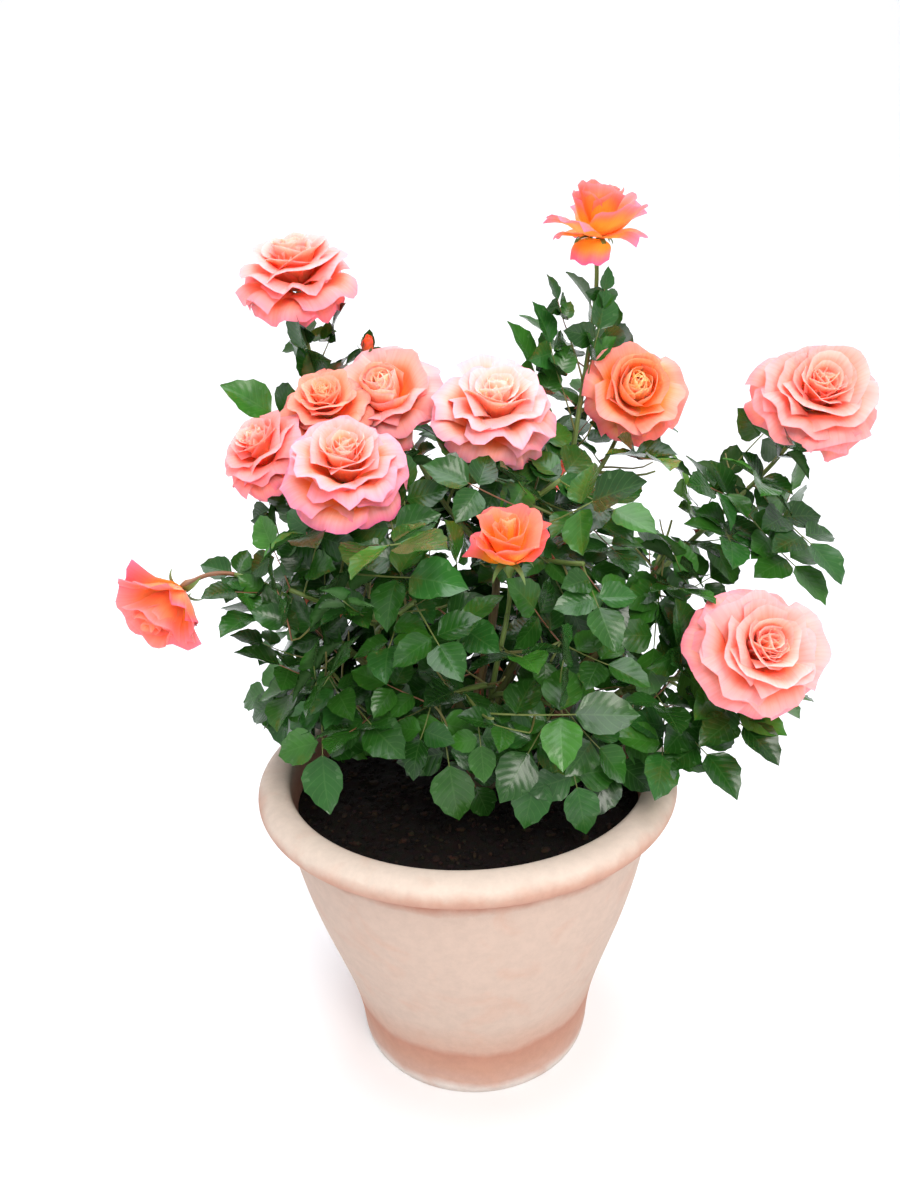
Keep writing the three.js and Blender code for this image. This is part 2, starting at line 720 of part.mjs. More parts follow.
// A side twig, a thin three-sided tube with leaves along it.
function growTwig(cane, at, direction, length, random) {
  const end = at.clone().addScaledVector(direction, length);
  if (!inOwnSpace(cane, end) || !inOwnSpace(cane, at.clone().lerp(end, 0.5))) return [];
  const line = arc(at, direction, end, direction.clone().lerp(UP, 0.3).normalize());
  if (!isClear(solid(limb(line, TWIG, CLEAR)), cane)) return [];
  const twig = solid(limb(line, TWIG));
  keep(twig, cane);
  return [twig, ...growLeavesOn(cane, line, TWIG.leaves, random)];
}

// The leaves and side twigs of one shoot.
function growShoot(cane, name, random) {
  const { twigs, leaves } = CANES[cane].shoots[name];
  const line = stemLine(cane, name);
  const grown = growLeavesOn(cane, line, leaves - twigs * TWIG.leaves, random);
  for (let i = 0; i < twigs; i += 1) {
    const place = 0.25 + (0.55 * (i + 0.5)) / twigs;
    const along = line.getTangentAt(place);
    const tries = Array.from({ length: LEAF_TRIES }, (_, attempt) => ({
      heading: leafDirection(along, i * LEAF_TURN + attempt * NEXT_TRY + random(1, 1.8)),
      length: TWIG.length * random(0.8, 1.25),
    }));
    tries.some(({ heading, length }) => {
      const twig = growTwig(cane, line.getPointAt(place), heading, length, random);
      grown.push(...twig);
      return twig.length > 0;
    });
  }
  return grown;
}

// The whole mass that a cane carries: its stems, and all that grows on them.
function growMass(cane, seed) {
  const random = seeded(seed);
  const grown = Object.keys(CANES[cane].shoots).flatMap((name) => growShoot(cane, name, random));
  return fuse([stemSolids[cane], ...grown]);
}

function stemsSolid(cane) {
  const stems = Object.keys(CANES[cane].shoots).map((name) =>
    solid(limb(stemLine(cane, name), STEM)),
  );
  return fuse(stems);
}

// The assembly

const pot = potSolid();
const soil = soilSolid();
const knuckle = knuckleSolid();
const below = [-FOOT.x, -FOOT.y, -FOOT.z];
keep(pot.translate(below), "pot");
keep(soil.translate(below), "soil");
keep(knuckle, "knuckle");

const bush = new THREE.Group();
bush.position.copy(FOOT);
bush.add(node("knuckle", geometryOf(knuckle), FINISH.cane));

for (const [name, { own }] of Object.entries(lines)) {
  const cane = solid(limb(own, CANE));
  keep(cane, `cane_${name}`);
  bush.add(node(`cane_${name}`, geometryOf(cane), FINISH.cane));
}

const stemSolids = Object.fromEntries(Object.keys(CANES).map((cane) => [cane, stemsSolid(cane)]));
for (const cane of Object.keys(CANES)) keep(stemSolids[cane], cane);

for (const [cane, { shoots }] of Object.entries(CANES)) {
  for (const [name, shoot] of Object.entries(shoots).filter(([, each]) => each.bloom)) {
    const bloom = bloomSolid(shoot, lines[cane].shoots[name]);
    keep(bloom, `bloom_${name}`);
    bush.add(node(`bloom_${name}`, geometryOf(bloom), FINISH.petal));
  }
}

Object.keys(CANES).forEach((cane, index) => {
  bush.add(node(`foliage_${cane}`, geometryOf(growMass(cane, SEED + 7 * index)), FINISH.leaf));
});

const plant = new THREE.Group();
plant.add(node("pot", geometryOf(pot), FINISH.terracotta));
plant.add(node("soil", geometryOf(soil), FINISH.compost));
plant.add(bush);

export default plant;
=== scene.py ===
# %% [markdown]
# # A rose bush in a terracotta pot
# The plant is a large-flowered garden rose in full bloom. It stands in a thick-walled pot whose clay
# has a thin bloom of lime. The imported solids give its size, its canes, its blooms and the reach of its
# leaves. This script dresses them: the solids stay hidden underneath, and finer pieces stand in their
# places. The solids are loaded first.

import json
import math

import bpy
import numpy as np
from mathutils import Matrix, Vector
from mathutils.kdtree import KDTree

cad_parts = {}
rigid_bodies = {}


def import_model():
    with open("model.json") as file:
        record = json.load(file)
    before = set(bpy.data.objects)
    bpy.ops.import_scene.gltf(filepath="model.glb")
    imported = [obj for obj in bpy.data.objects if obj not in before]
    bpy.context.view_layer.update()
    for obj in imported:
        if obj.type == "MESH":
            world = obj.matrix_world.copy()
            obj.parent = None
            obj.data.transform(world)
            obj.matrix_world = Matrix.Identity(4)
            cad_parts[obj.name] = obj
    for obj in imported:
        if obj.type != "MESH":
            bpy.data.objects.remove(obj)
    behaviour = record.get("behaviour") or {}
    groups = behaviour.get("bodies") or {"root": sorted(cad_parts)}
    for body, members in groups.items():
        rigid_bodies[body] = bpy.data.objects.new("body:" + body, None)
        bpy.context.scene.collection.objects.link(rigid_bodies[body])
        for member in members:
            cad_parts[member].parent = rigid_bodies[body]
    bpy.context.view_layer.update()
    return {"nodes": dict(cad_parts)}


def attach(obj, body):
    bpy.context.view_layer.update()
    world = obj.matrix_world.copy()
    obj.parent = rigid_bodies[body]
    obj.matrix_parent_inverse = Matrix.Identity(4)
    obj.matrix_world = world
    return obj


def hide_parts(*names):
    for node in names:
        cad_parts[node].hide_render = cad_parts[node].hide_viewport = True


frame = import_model()

# %% [markdown]
# ## Camera
# The photograph looks down on the pot from about the height of the top blooms. The rim and the foot of
# the pot are two level circles, and how wide and how flat each looks tells where the camera stood. The
# camera turns a little to the left, tips down about 20 degrees, and leans a little.

# %% Camera
CAMERA_AT = (0, -0.9036, 0.8534)
TIPS_DOWN, LEANS, TURNS = (math.radians(angle) for angle in (19.64, -2.4, -0.66))
FOCAL_PIXELS, FRAME_HEIGHT, SENSOR_MM = 915.87, 1200, 36

level_reach = math.cos(TIPS_DOWN)
ahead = Vector((math.sin(TURNS) * level_reach, math.cos(TURNS) * level_reach, -math.sin(TIPS_DOWN)))
rightwards = Vector((math.cos(TURNS), -math.sin(TURNS), 0))
upwards = rightwards.cross(ahead)
across = rightwards * math.cos(LEANS) + upwards * math.sin(LEANS)
upright = upwards * math.cos(LEANS) - rightwards * math.sin(LEANS)

camera = bpy.data.objects.new("camera", bpy.data.cameras.new("camera"))
camera.data.sensor_width = SENSOR_MM
camera.data.lens = SENSOR_MM * FOCAL_PIXELS / FRAME_HEIGHT
camera_axes = Matrix((across, upright, -ahead)).transposed()
camera.matrix_world = Matrix.Translation(CAMERA_AT) @ camera_axes.to_4x4()
bpy.context.collection.objects.link(camera)
bpy.context.scene.camera = camera
print("lens:", round(camera.data.lens, 2), "mm")

# %% [markdown]
# ## Arrays, parts and pieces
# A bush has thousands of leaves and petals, so none of them is shaped by hand. Each shape is worked
# out as whole arrays of points. A part is a set of points in millimetres from the foot of the
# bush, its faces, the place of each point on its own surface, and its colour. Parts of one kind are
# joined to one mesh, which is quicker to draw than many small ones.

# %% Parts and pieces
FOOT = np.array([15, 25, 306.3])  # mm, where the bush stands on the compost
UP = np.array([0, 0, 1.0])


def linear(colour):
    """An sRGB hex colour as linear red, green and blue: dark values are divided by 12.92, the rest raised
    to the power 2.4."""
    value = np.array([int(colour[i:i + 2], 16) for i in (1, 3, 5)]) / 255
    return np.where(value <= 0.04045, value / 12.92, ((value + 0.055) / 1.055) ** 2.4)


def unit(vectors):
    """Vectors divided by their lengths."""
    return vectors / np.linalg.norm(vectors, axis=-1, keepdims=True)


def join(parts):
    """Several parts as one: the faces of each count on from the points of those before it."""
    starts = np.cumsum([0] + [len(part["at"]) for part in parts[:-1]])
    faces = [np.where(part["faces"] < 0, -1, part["faces"] + start) for part, start in zip(parts, starts)]
    joined = {key: np.concatenate([part[key] for part in parts]) for key in ("at", "spread", "tint", "margin")}
    return {**joined, "faces": np.concatenate(faces)}


def make_piece(name, part, material, slot, *stands_for):
    """One object from a part. A face is a row of four point numbers, the last -1 where it has only three."""
    faces = part["faces"]
    corners = (faces >= 0).sum(axis=1)
    mesh = bpy.data.meshes.new(name)
    mesh.vertices.add(len(part["at"]))
    mesh.vertices.foreach_set("co", ((part["at"] + FOOT) / 1000).ravel())
    mesh.loops.add(int(corners.sum()))
    mesh.loops.foreach_set("vertex_index", faces[faces >= 0])
    mesh.polygons.add(len(faces))
    mesh.polygons.foreach_set("loop_start", np.cumsum(corners) - corners)
    mesh.polygons.foreach_set("use_smooth", np.ones(len(faces), bool))
    spread = mesh.attributes.new("spread", "FLOAT2", "POINT")
    spread.data.foreach_set("vector", part["spread"].ravel())
    tint = mesh.attributes.new("tint", "FLOAT_COLOR", "POINT")
    tint.data.foreach_set("color", np.insert(part["tint"], 3, 1, axis=1).ravel())
    mesh.update(calc_edges=True)
    ends = np.empty(2 * len(mesh.edges), int)
    mesh.edges.foreach_get("vertices", ends)
    sharp = mesh.attributes.new("sharp_edge", "BOOLEAN", "EDGE")
    sharp.data.foreach_set("value", part["margin"][ends.reshape(-1, 2)].all(axis=1))
    mesh.validate()
    mesh.materials.append(material)
    piece = bpy.data.objects.new(name, mesh)
    bpy.context.collection.objects.link(piece)
    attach(piece, "root")
    if stands_for:
        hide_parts(*stands_for)
    return piece


def tinted(colour, at):
    """The same colour for every point of an array."""
    return np.broadcast_to(linear(colour), at.shape).copy()


print("the bush stands at", FOOT, "mm")

# %% [markdown]
# Two kinds of surface make nearly everything. The first is the tube: a ring carried along a path, closed
# by a point at each end. Canes, stems, stalks and thorns are tubes, and so are the pot and the compost,
# whose path is straight.

# %% Tubes
def ring_faces(rows, columns):
    """Faces between rings that close on themselves: a point, the one beside it, and the two above them."""
    row, column = np.meshgrid(np.arange(rows - 1), np.arange(columns), indexing="ij")
    beside, here, above = (column + 1) % columns, row * columns, (row + 1) * columns
    return np.stack([here + column, here + beside, above + beside, above + column], axis=-1).reshape(-1, 4)


def tube_from_rings(rings, spread, colours):
    """A closed tube from an array of rings, rows by columns by 3, with an end point at each end's middle."""
    rows, columns, _ = rings.shape
    first, last = rows * columns, rows * columns + 1
    column = np.arange(columns)
    beside = (column + 1) % columns
    none = np.full(columns, -1)
    last_ring = first - columns
    start_fan = np.stack([np.full(columns, first), beside, column, none], axis=1)
    end_fan = np.stack([np.full(columns, last), last_ring + column, last_ring + beside, none], axis=1)
    ends = [0, -1]
    return {
        "at": np.concatenate([rings.reshape(-1, 3), rings[ends].mean(axis=1)]),
        "faces": np.concatenate([ring_faces(rows, columns), start_fan, end_fan]),
        "spread": np.concatenate([spread.reshape(-1, 2), spread[ends, 0]]),
        "tint": np.concatenate([colours.reshape(-1, 3), colours[ends, 0]]),
        "margin": np.zeros(rows * columns + 2, bool),
    }


def tube(path, radii, colour, sides=8, bumps=0.0, seed=1):
    """A tube about a path of points. Each ring is a circle square to the path: radius times cosine along one
    cross direction and sine along the other. Bumps swell and pinch it at random by that share of its radius."""
    steps = np.gradient(path, axis=0)
    along = unit(steps)
    away = np.eye(3)[np.abs(along).max(axis=0).argmin()]
    across = unit(away - along * (along @ away)[:, None])
    aside = np.cross(along, across)
    turn = np.linspace(0, 2 * np.pi, sides, endpoint=False)
    swell = 1 + bumps * np.random.default_rng(seed).normal(size=(len(path), sides))
    reach = (radii[:, None] * swell)[..., None]
    circle = across[:, None] * np.cos(turn)[:, None] + aside[:, None] * np.sin(turn)[:, None]
    rings = path[:, None] + reach * circle
    run = np.cumsum(np.linalg.norm(steps, axis=1))
    spread = np.stack(np.broadcast_arrays(turn[None] / (2 * np.pi), run[:, None] / 100), axis=-1)
    return tube_from_rings(rings, spread, tinted(colour, rings))


print("faces between 4 rings of 6 points:", len(ring_faces(4, 6)))

# %% [markdown]
# The second is the shell: a grid of points with a second grid just under it that meets it at the margin.
# Leaves, petals and sepals are shells. A shell has a real thickness, so it looks right from both sides,
# and its margin is sharp.

# %% Shells
def shell_faces(rows, columns):
    """Faces of one shell: its upper grid, and its lower grid the other way round. Both share the points of the
    margin, so the shell is closed and its edge is sharp."""
    above = np.arange(rows * columns).reshape(rows, columns)
    below = above.copy()
    below[1:-1, 1:-1] = rows * columns + np.arange((rows - 2) * (columns - 2)).reshape(rows - 2, columns - 2)
    grid = lambda number: np.stack([number[:-1, :-1], number[1:, :-1], number[1:, 1:], number[:-1, 1:]], axis=-1)
    return np.concatenate([grid(above).reshape(-1, 4), grid(below).reshape(-1, 4)[:, ::-1]])


def shells(upper, lower, spread, upper_tint, lower_tint):
    """Many shells at once. Each array is shell by row by column by value. The points of the lower grid's margin
    are left out, because the upper grid's stand in for them."""
    count, rows, columns, _ = upper.shape
    size = rows * columns + (rows - 2) * (columns - 2)
    faces = shell_faces(rows, columns)[None] + size * np.arange(count)[:, None, None]
    inner = lambda below: below[:, 1:-1, 1:-1].reshape(count, -1, below.shape[-1])
    stack = lambda above, below: np.concatenate([above.reshape(count, rows * columns, -1), inner(below)], axis=1)
    on_margin = np.ones((rows, columns), bool)
    on_margin[1:-1, 1:-1] = False
    margin = np.concatenate([on_margin.ravel(), np.zeros(size - rows * columns, bool)])
    return {
        "at": stack(upper, lower).reshape(-1, 3),
        "faces": faces.reshape(-1, 4),
        "spread": stack(spread, spread).reshape(-1, 2),
        "tint": stack(upper_tint, lower_tint).reshape(-1, 3),
        "margin": np.tile(margin, count),
    }


print("faces of a shell of 10 by 12:", len(shell_faces(10, 12)))

# %% [markdown]
# ## Materials
# One small function adds a node to a material with its settings and its links. Two more take up what
# the materials share: toning a colour by a pattern, and joining colour and bump to the surface shader.
# Each material starts from what the real surface is. The sizes of patterns are given in millimetres.
# Where a Mix node mixes colours, its inputs 0, 6 and 7 are the share and the two colours, and its
# output 2 is the mixed one.

# %% Adding nodes
MM = 0.001  # the scene is in metres


def add(tree, kind, inputs=None, **settings):
    """Adds a node. An input is either a plain value or the output of another node, which is then linked."""
    node = tree.nodes.new(kind)
    for name, value in settings.items():
        setattr(node, name, value)
    for name, value in (inputs or {}).items():
        if isinstance(value, bpy.types.NodeSocket):
            tree.links.new(value, node.inputs[name])
        else:
            node.inputs[name].default_value = value
    return node


def new_material(name):
    """An empty material, with its tree and its surface shader already joined to the output."""
    material = bpy.data.materials.new(name)
    material.use_nodes = True
    tree = material.node_tree
    tree.nodes.clear()
    shader = add(tree, "ShaderNodeBsdfPrincipled")
    add(tree, "ShaderNodeOutputMaterial", {"Surface": shader.outputs["BSDF"]})
    return material, tree, shader


def rgba(colour):
    """An sRGB hex colour as linear red, green, blue and a full alpha."""
    return (*linear(colour), 1)


def set_ramp(node, stops):
    """Sets a colour ramp's stops from pairs of place and colour."""
    ramp = node.color_ramp
    while len(ramp.elements) > 1:
        ramp.elements.remove(ramp.elements[-1])
    for index, (place, colour) in enumerate(stops):
        element = ramp.elements[0] if index == 0 else ramp.elements.new(place)
        element.position = place
        element.color = rgba(colour)


def toned(tree, share, colour, pattern, stops):
    """A colour multiplied, by a share, with the tones that a ramp gives to a pattern."""
    tones = add(tree, "ShaderNodeValToRGB", {"Fac": pattern})
    set_ramp(tones, stops)
    return add(tree, "ShaderNodeMix", {0: share, 6: colour, 7: tones.outputs["Color"]},
               data_type="RGBA", blend_type="MULTIPLY")


def finish_surface(tree, shader, colour, bump, roughness, ior=1.5):
    """Links a colour and a bump to the surface shader, and sets how rough and how refractive it is."""
    tree.links.new(colour.outputs[2], shader.inputs["Base Color"])
    tree.links.new(bump.outputs["Normal"], shader.inputs["Normal"])
    shader.inputs["Roughness"].default_value = roughness
    shader.inputs["IOR"].default_value = ior


print("one millimetre is", MM, "of the scene's units")

# %% [markdown]
# The pot is fired red clay. Lime from hard water and the clay's own salts have dried on it, so it is a
# pale, matt pink, creamier on the rim's top and saltier at the very foot, and the bare salmon clay
# shows on the rim's side and in a band above the foot. Under the rim and on the lower half of its roll
# the salmon is darker: bare clay, with painted shade where the rim overhangs. The bands follow the height, and
# noise with lumps of some 60 mm bends their edges. Faint salmon stains and chalky flecks lie over them.
# Fired clay has an IOR near 1.5 and hardly any gloss. A sandy grain of 1.6 mm makes it dull.

# %% Limewashed terracotta
terracotta, tree, shader = new_material("fired_clay_with_lime_bloom")
place = add(tree, "ShaderNodeTexCoord").outputs["Object"]
cloud = add(tree, "ShaderNodeTexNoise", {"Vector": place, "Scale": 1 / (60 * MM), "Detail": 5, "Roughness": 0.6})
height = add(tree, "ShaderNodeSeparateXYZ", {"Vector": place}).outputs["Z"]
share = add(tree, "ShaderNodeMapRange", {"Value": height, "From Min": 0, "From Max": 360 * MM})
bent = add(tree, "ShaderNodeMath", {0: cloud.outputs[0], 1: 0.07, 2: share.outputs["Result"]},
           operation="MULTIPLY_ADD")
# The stops from 0.84 to 0.94 darken the clay under the rim and on the lower half of its roll: bare salmon clay with
# painted shade.
clay_bands_and_rim_shade = add(tree, "ShaderNodeValToRGB", {"Fac": bent.outputs[0]})
set_ramp(clay_bands_and_rim_shade, [
    (0.0, "#e4dcd4"), (0.052, "#dfd3ca"), (0.08, "#c8a291"), (0.14, "#c0917b"), (0.2, "#b8846e"),
    (0.228, "#c4a08d"), (0.34, "#c7b0a0"), (0.84, "#c8b0a0"), (0.872, "#b27b65"), (0.91, "#b47f69"),
    (0.94, "#c59c88"), (0.968, "#d4c2b2"),
])
fleck = add(tree, "ShaderNodeTexNoise", {"Vector": place, "Scale": 1 / (12 * MM), "Detail": 4, "Roughness": 0.7})
washed = toned(tree, 0.12, clay_bands_and_rim_shade.outputs["Color"], fleck.outputs[0], [(0.35, "#9a9a9a"), (0.62, "#ffffff")])
stain = add(tree, "ShaderNodeTexNoise", {"Vector": place, "Scale": 1 / (45 * MM), "Detail": 7, "Distortion": 0.6})
stained_share = add(tree, "ShaderNodeMapRange", {"Value": stain.outputs[0], "From Min": 0.54, "From Max": 0.7,
                                                 "To Min": 0, "To Max": 0.28})
stained = add(tree, "ShaderNodeMix", {0: stained_share.outputs["Result"], 6: washed.outputs[2], 7: rgba("#c8957c")},
              data_type="RGBA")
grain = add(tree, "ShaderNodeTexNoise", {"Vector": place, "Scale": 1 / (1.6 * MM), "Detail": 3})
rise = add(tree, "ShaderNodeBump", {"Height": grain.outputs[0], "Strength": 0.25, "Distance": 0.6 * MM})
finish_surface(tree, shader, stained, rise, roughness=0.82)
print("made", terracotta.name)

# %% [markdown]
# The compost is dark, damp bark and peat, crumbly, in lumps of a few millimetres. Each lump is a little
# different in brown, and only the wettest have a dull shine.

# %% Compost
compost, tree, shader = new_material("damp_bark_compost")
place = add(tree, "ShaderNodeTexCoord").outputs["Object"]
crumb = add(tree, "ShaderNodeTexVoronoi", {"Vector": place, "Scale": 1 / (5 * MM), "Randomness": 1})
shade = add(tree, "ShaderNodeAttribute", attribute_name="tint")
brown = add(tree, "ShaderNodeMix", {0: 0.5, 6: shade.outputs["Color"], 7: crumb.outputs["Color"]},
            data_type="RGBA", blend_type="MULTIPLY")
grit = add(tree, "ShaderNodeTexNoise", {"Vector": place, "Scale": 1 / (2 * MM), "Detail": 4})
rise = add(tree, "ShaderNodeBump", {"Height": grit.outputs[0], "Strength": 0.8, "Distance": 1.5 * MM})
finish_surface(tree, shader, brown, rise, roughness=0.9)
shader.inputs["Specular IOR Level"].default_value = 0.2
print("made", compost.name)

# %% [markdown]
# Rose canes are smooth green bark that browns with age, with fine streaks along them. The stems and
# leaf stalks are the same skin, younger, and flushed red on the sunny side. The colour of each part is
# in its tint, and the material adds streaks and a waxy gloss. Plant skin has an IOR near 1.45.

# %% Green bark
PLANT_IOR = 1.45
bark, tree, shader = new_material("smooth_green_bark")
shade = add(tree, "ShaderNodeAttribute", attribute_name="tint")
place = add(tree, "ShaderNodeAttribute", attribute_name="spread")
streak = add(tree, "ShaderNodeMapping", {"Vector": place.outputs["Vector"], "Scale": (9, 2.2, 1)})
lines = add(tree, "ShaderNodeTexNoise", {"Vector": streak.outputs["Vector"], "Scale": 1.5, "Detail": 5})
skin = toned(tree, 0.8, shade.outputs["Color"], lines.outputs[0],
             [(0.3, "#8a7a6a"), (0.5, "#d8d2c8"), (0.7, "#ffffff")])
rise = add(tree, "ShaderNodeBump", {"Height": lines.outputs[0], "Strength": 0.4, "Distance": 0.6 * MM})
finish_surface(tree, shader, skin, rise, roughness=0.45, ior=PLANT_IOR)
print("made", bark.name)

# %% [markdown]
# A rose leaflet is dark green and waxy, so it mirrors the sky in soft bluish patches. The midrib and
# the side veins are sunk and a little lighter, and the blade swells between them. The place across the
# leaflet runs from -1 to 1 and the place along it from 0 to 1. The side veins are lines where the place
# along, less a part of the distance from the midrib, passes a whole number of sevenths.

# %% Glossy leaf
SIDE_VEINS = 7
leaf_green, tree, shader = new_material("glossy_rose_leaf")
shade = add(tree, "ShaderNodeAttribute", attribute_name="tint")
place = add(tree, "ShaderNodeAttribute", attribute_name="spread")
across_along = add(tree, "ShaderNodeSeparateXYZ", {"Vector": place.outputs["Vector"]})
off_rib = add(tree, "ShaderNodeMath", {0: across_along.outputs["X"]}, operation="ABSOLUTE")
slant = add(tree, "ShaderNodeMath", {0: off_rib.outputs[0], 1: -0.28, 2: across_along.outputs["Y"]},
            operation="MULTIPLY_ADD")
sevenths = add(tree, "ShaderNodeMath", {0: slant.outputs[0], 1: SIDE_VEINS * 2 * math.pi}, operation="MULTIPLY")
swell = add(tree, "ShaderNodeMath", {0: sevenths.outputs[0]}, operation="COSINE")
side_vein = add(tree, "ShaderNodeMapRange", {"Value": swell.outputs[0], "From Min": 0.9, "From Max": 1})
midrib = add(tree, "ShaderNodeMapRange", {"Value": off_rib.outputs[0], "From Min": 0.07, "From Max": 0.0})
vein = add(tree, "ShaderNodeMath", {0: side_vein.outputs[0], 1: midrib.outputs[0]}, operation="MAXIMUM")
patch = add(tree, "ShaderNodeTexNoise", {"Vector": add(tree, "ShaderNodeTexCoord").outputs["Object"],
                                         "Scale": 1 / (18 * MM), "Detail": 3})
blade = toned(tree, 0.7, shade.outputs["Color"], patch.outputs[0], [(0.3, "#c4ccc0"), (0.65, "#ffffff")])
veined_share = add(tree, "ShaderNodeMath", {0: vein.outputs[0], 1: 0.13}, operation="MULTIPLY")
veined = add(tree, "ShaderNodeMix", {0: veined_share.outputs[0], 6: blade.outputs[2], 7: rgba("#6f9a55")},
             data_type="RGBA")
sunk = add(tree, "ShaderNodeMath", {0: swell.outputs[0], 1: -0.5}, operation="MULTIPLY")
lower_rib = add(tree, "ShaderNodeMath", {0: midrib.outputs[0], 1: -1.0, 2: sunk.outputs[0]},
                operation="MULTIPLY_ADD")
rise = add(tree, "ShaderNodeBump", {"Height": lower_rib.outputs[0], "Strength": 0.09, "Distance": MM})
finish_surface(tree, shader, veined, rise, roughness=0.24, ior=PLANT_IOR)
print("made", leaf_green.name)

# %% [markdown]
# Petals are thin, soft and velvety. Light enters and comes out again tinted, so the folds glow, which
# subsurface scattering gives. Fine veins fan out from the claw: lines that follow the place across the
# petal, wavering a little. The colours, from apricot at the claw to pink at the margin, are in the tint.

# %% Rose petal
petal_skin, tree, shader = new_material("velvety_rose_petal")
shade = add(tree, "ShaderNodeAttribute", attribute_name="tint")
place = add(tree, "ShaderNodeAttribute", attribute_name="spread")
fan = add(tree, "ShaderNodeMapping", {"Vector": place.outputs["Vector"], "Scale": (14, 1.2, 1)})
veins = add(tree, "ShaderNodeTexNoise", {"Vector": fan.outputs["Vector"], "Scale": 1.3, "Detail": 3})
blush = toned(tree, 0.7, shade.outputs["Color"], veins.outputs[0], [(0.3, "#fbe6e0"), (0.6, "#ffffff")])
rise = add(tree, "ShaderNodeBump", {"Height": veins.outputs[0], "Strength": 0.25, "Distance": 0.6 * MM})
finish_surface(tree, shader, blush, rise, roughness=0.55, ior=1.4)
shader.subsurface_method = "BURLEY"
shader.inputs["Subsurface Weight"].default_value = 0.62
shader.inputs["Subsurface Radius"].default_value = (1.0, 0.25, 0.12)
shader.inputs["Subsurface Scale"].default_value = 9 * MM
shader.inputs["Sheen Weight"].default_value = 0.15
print("made", petal_skin.name)

# %% [markdown]
# ## The pot
# The pot was thrown with a slightly curved wall, a flat foot and a rolled rim that overhangs. Its
# outline is turned about the upright axis: every ring of the outline is a circle. The wall is a Bezier
# curve from foot to neck, the rim is half an ellipse, and the inner wall runs back down to the floor.

# %% Pot outline
# All in mm.
POT_HEIGHT, RIM_RADIUS, MOUTH_RADIUS, FOOT_RADIUS, NECK_RADIUS = 341, 230, 195, 135, 205
RIM_DEPTH, RIM_ROLL, WALL, FLOOR, SOIL_TOP = 29, 19, 14, 16, 306
CLAY_TINT = "#e6c8b6"


def bezier(corners, count):
    """Points of a cubic Bezier curve: the corners weighted by the terms of (1 - t + t) cubed."""
    t = np.linspace(0, 1, count)[:, None]
    weights = np.hstack([(1 - t) ** 3, 3 * t * (1 - t) ** 2, 3 * t ** 2 * (1 - t), t ** 3])
    return weights @ np.array(corners, float)


def pot_wall(inset):
    """The wall's outline, as pairs of radius and height, moved in by an inset: a Bezier curve that flares."""
    radii = np.array([FOOT_RADIUS, FOOT_RADIUS + 4, NECK_RADIUS - 17, NECK_RADIUS]) - inset
    return bezier(np.stack([radii, [0, 110, 160, POT_HEIGHT - RIM_DEPTH]], axis=1), 40)


def turned_shape(outline, colour, columns=128):
    """Rings of an outline turned about the upright axis: radius times cosine, radius times sine, height."""
    turn = np.linspace(0, 2 * np.pi, columns, endpoint=False)
    radius, height = outline[:, :1], outline[:, 1:]
    rings = np.stack([radius * np.cos(turn), radius * np.sin(turn), height + 0 * turn], axis=-1)
    spread = np.stack(np.broadcast_arrays(turn[None] / (2 * np.pi), height / 100), axis=-1)
    return tube_from_rings(rings - FOOT, spread, tinted(colour, rings))


roll = np.linspace(-np.pi / 2, np.pi / 2, 28)
rim = np.stack([RIM_RADIUS - RIM_ROLL + RIM_ROLL * np.cos(roll),
                POT_HEIGHT - RIM_DEPTH / 2 + RIM_DEPTH / 2 * np.sin(roll)], axis=1)
lip = bezier([(RIM_RADIUS - RIM_ROLL, POT_HEIGHT), (MOUTH_RADIUS + 6, POT_HEIGHT + 0.3),
              (MOUTH_RADIUS, POT_HEIGHT - 2), (MOUTH_RADIUS, POT_HEIGHT - 8)], 10)[1:]
inner = pot_wall(WALL)[::-1]
inner = inner[(inner[:, 1] > FLOOR + 6) & (inner[:, 1] < POT_HEIGHT - RIM_DEPTH)]
pot_outline = np.concatenate([
    [(1, 0), (90, 0), (FOOT_RADIUS - 4, 0), (FOOT_RADIUS - 1, 1)], pot_wall(0)[1:], rim, lip, inner,
    [(FOOT_RADIUS - WALL - 10, FLOOR), (60, FLOOR), (1, FLOOR)],
])
pot = make_piece("pot_of_terracotta", turned_shape(pot_outline, CLAY_TINT), terracotta, "terracotta", "pot")
print("pot faces:", len(pot.data.polygons))

# %% [markdown]
# Water leaves by three holes in the pot's floor. They are cut with three upright rods, and the cut is
# applied to the mesh at once, so that no helper object stays behind.

# %% Drain holes
HOLES, HOLE_RADIUS, HOLES_OFF_CENTRE = 3, 9.0, 62  # the last two in mm
hole_turns = np.arange(HOLES) * 2 * np.pi / HOLES
rod_heights = np.array([-20, 0, 20, 40])
rods = [tube(np.stack([HOLES_OFF_CENTRE * np.cos(turn) + 0 * rod_heights,
                       HOLES_OFF_CENTRE * np.sin(turn) + 0 * rod_heights, rod_heights], axis=1) - FOOT,
             np.full(len(rod_heights), HOLE_RADIUS), CLAY_TINT, sides=24) for turn in hole_turns]
drill = make_piece("drill", join(rods), terracotta, "terracotta")
cut = pot.modifiers.new("drain_holes", "BOOLEAN")
cut.object, cut.operation, cut.solver = drill, "DIFFERENCE", "EXACT"
drilled = bpy.data.meshes.new_from_object(pot.evaluated_get(bpy.context.evaluated_depsgraph_get()))
pot.modifiers.clear()
pot.data = drilled
bpy.data.objects.remove(drill)
print("pot faces with holes:", len(pot.data.polygons))

# %% [markdown]
# ## Compost
# The surface of the compost is uneven: lumps as wide as a thumb, with crumbs on them. Smooth random
# heights at three sizes are added together. Under the surface the compost fills the pot.

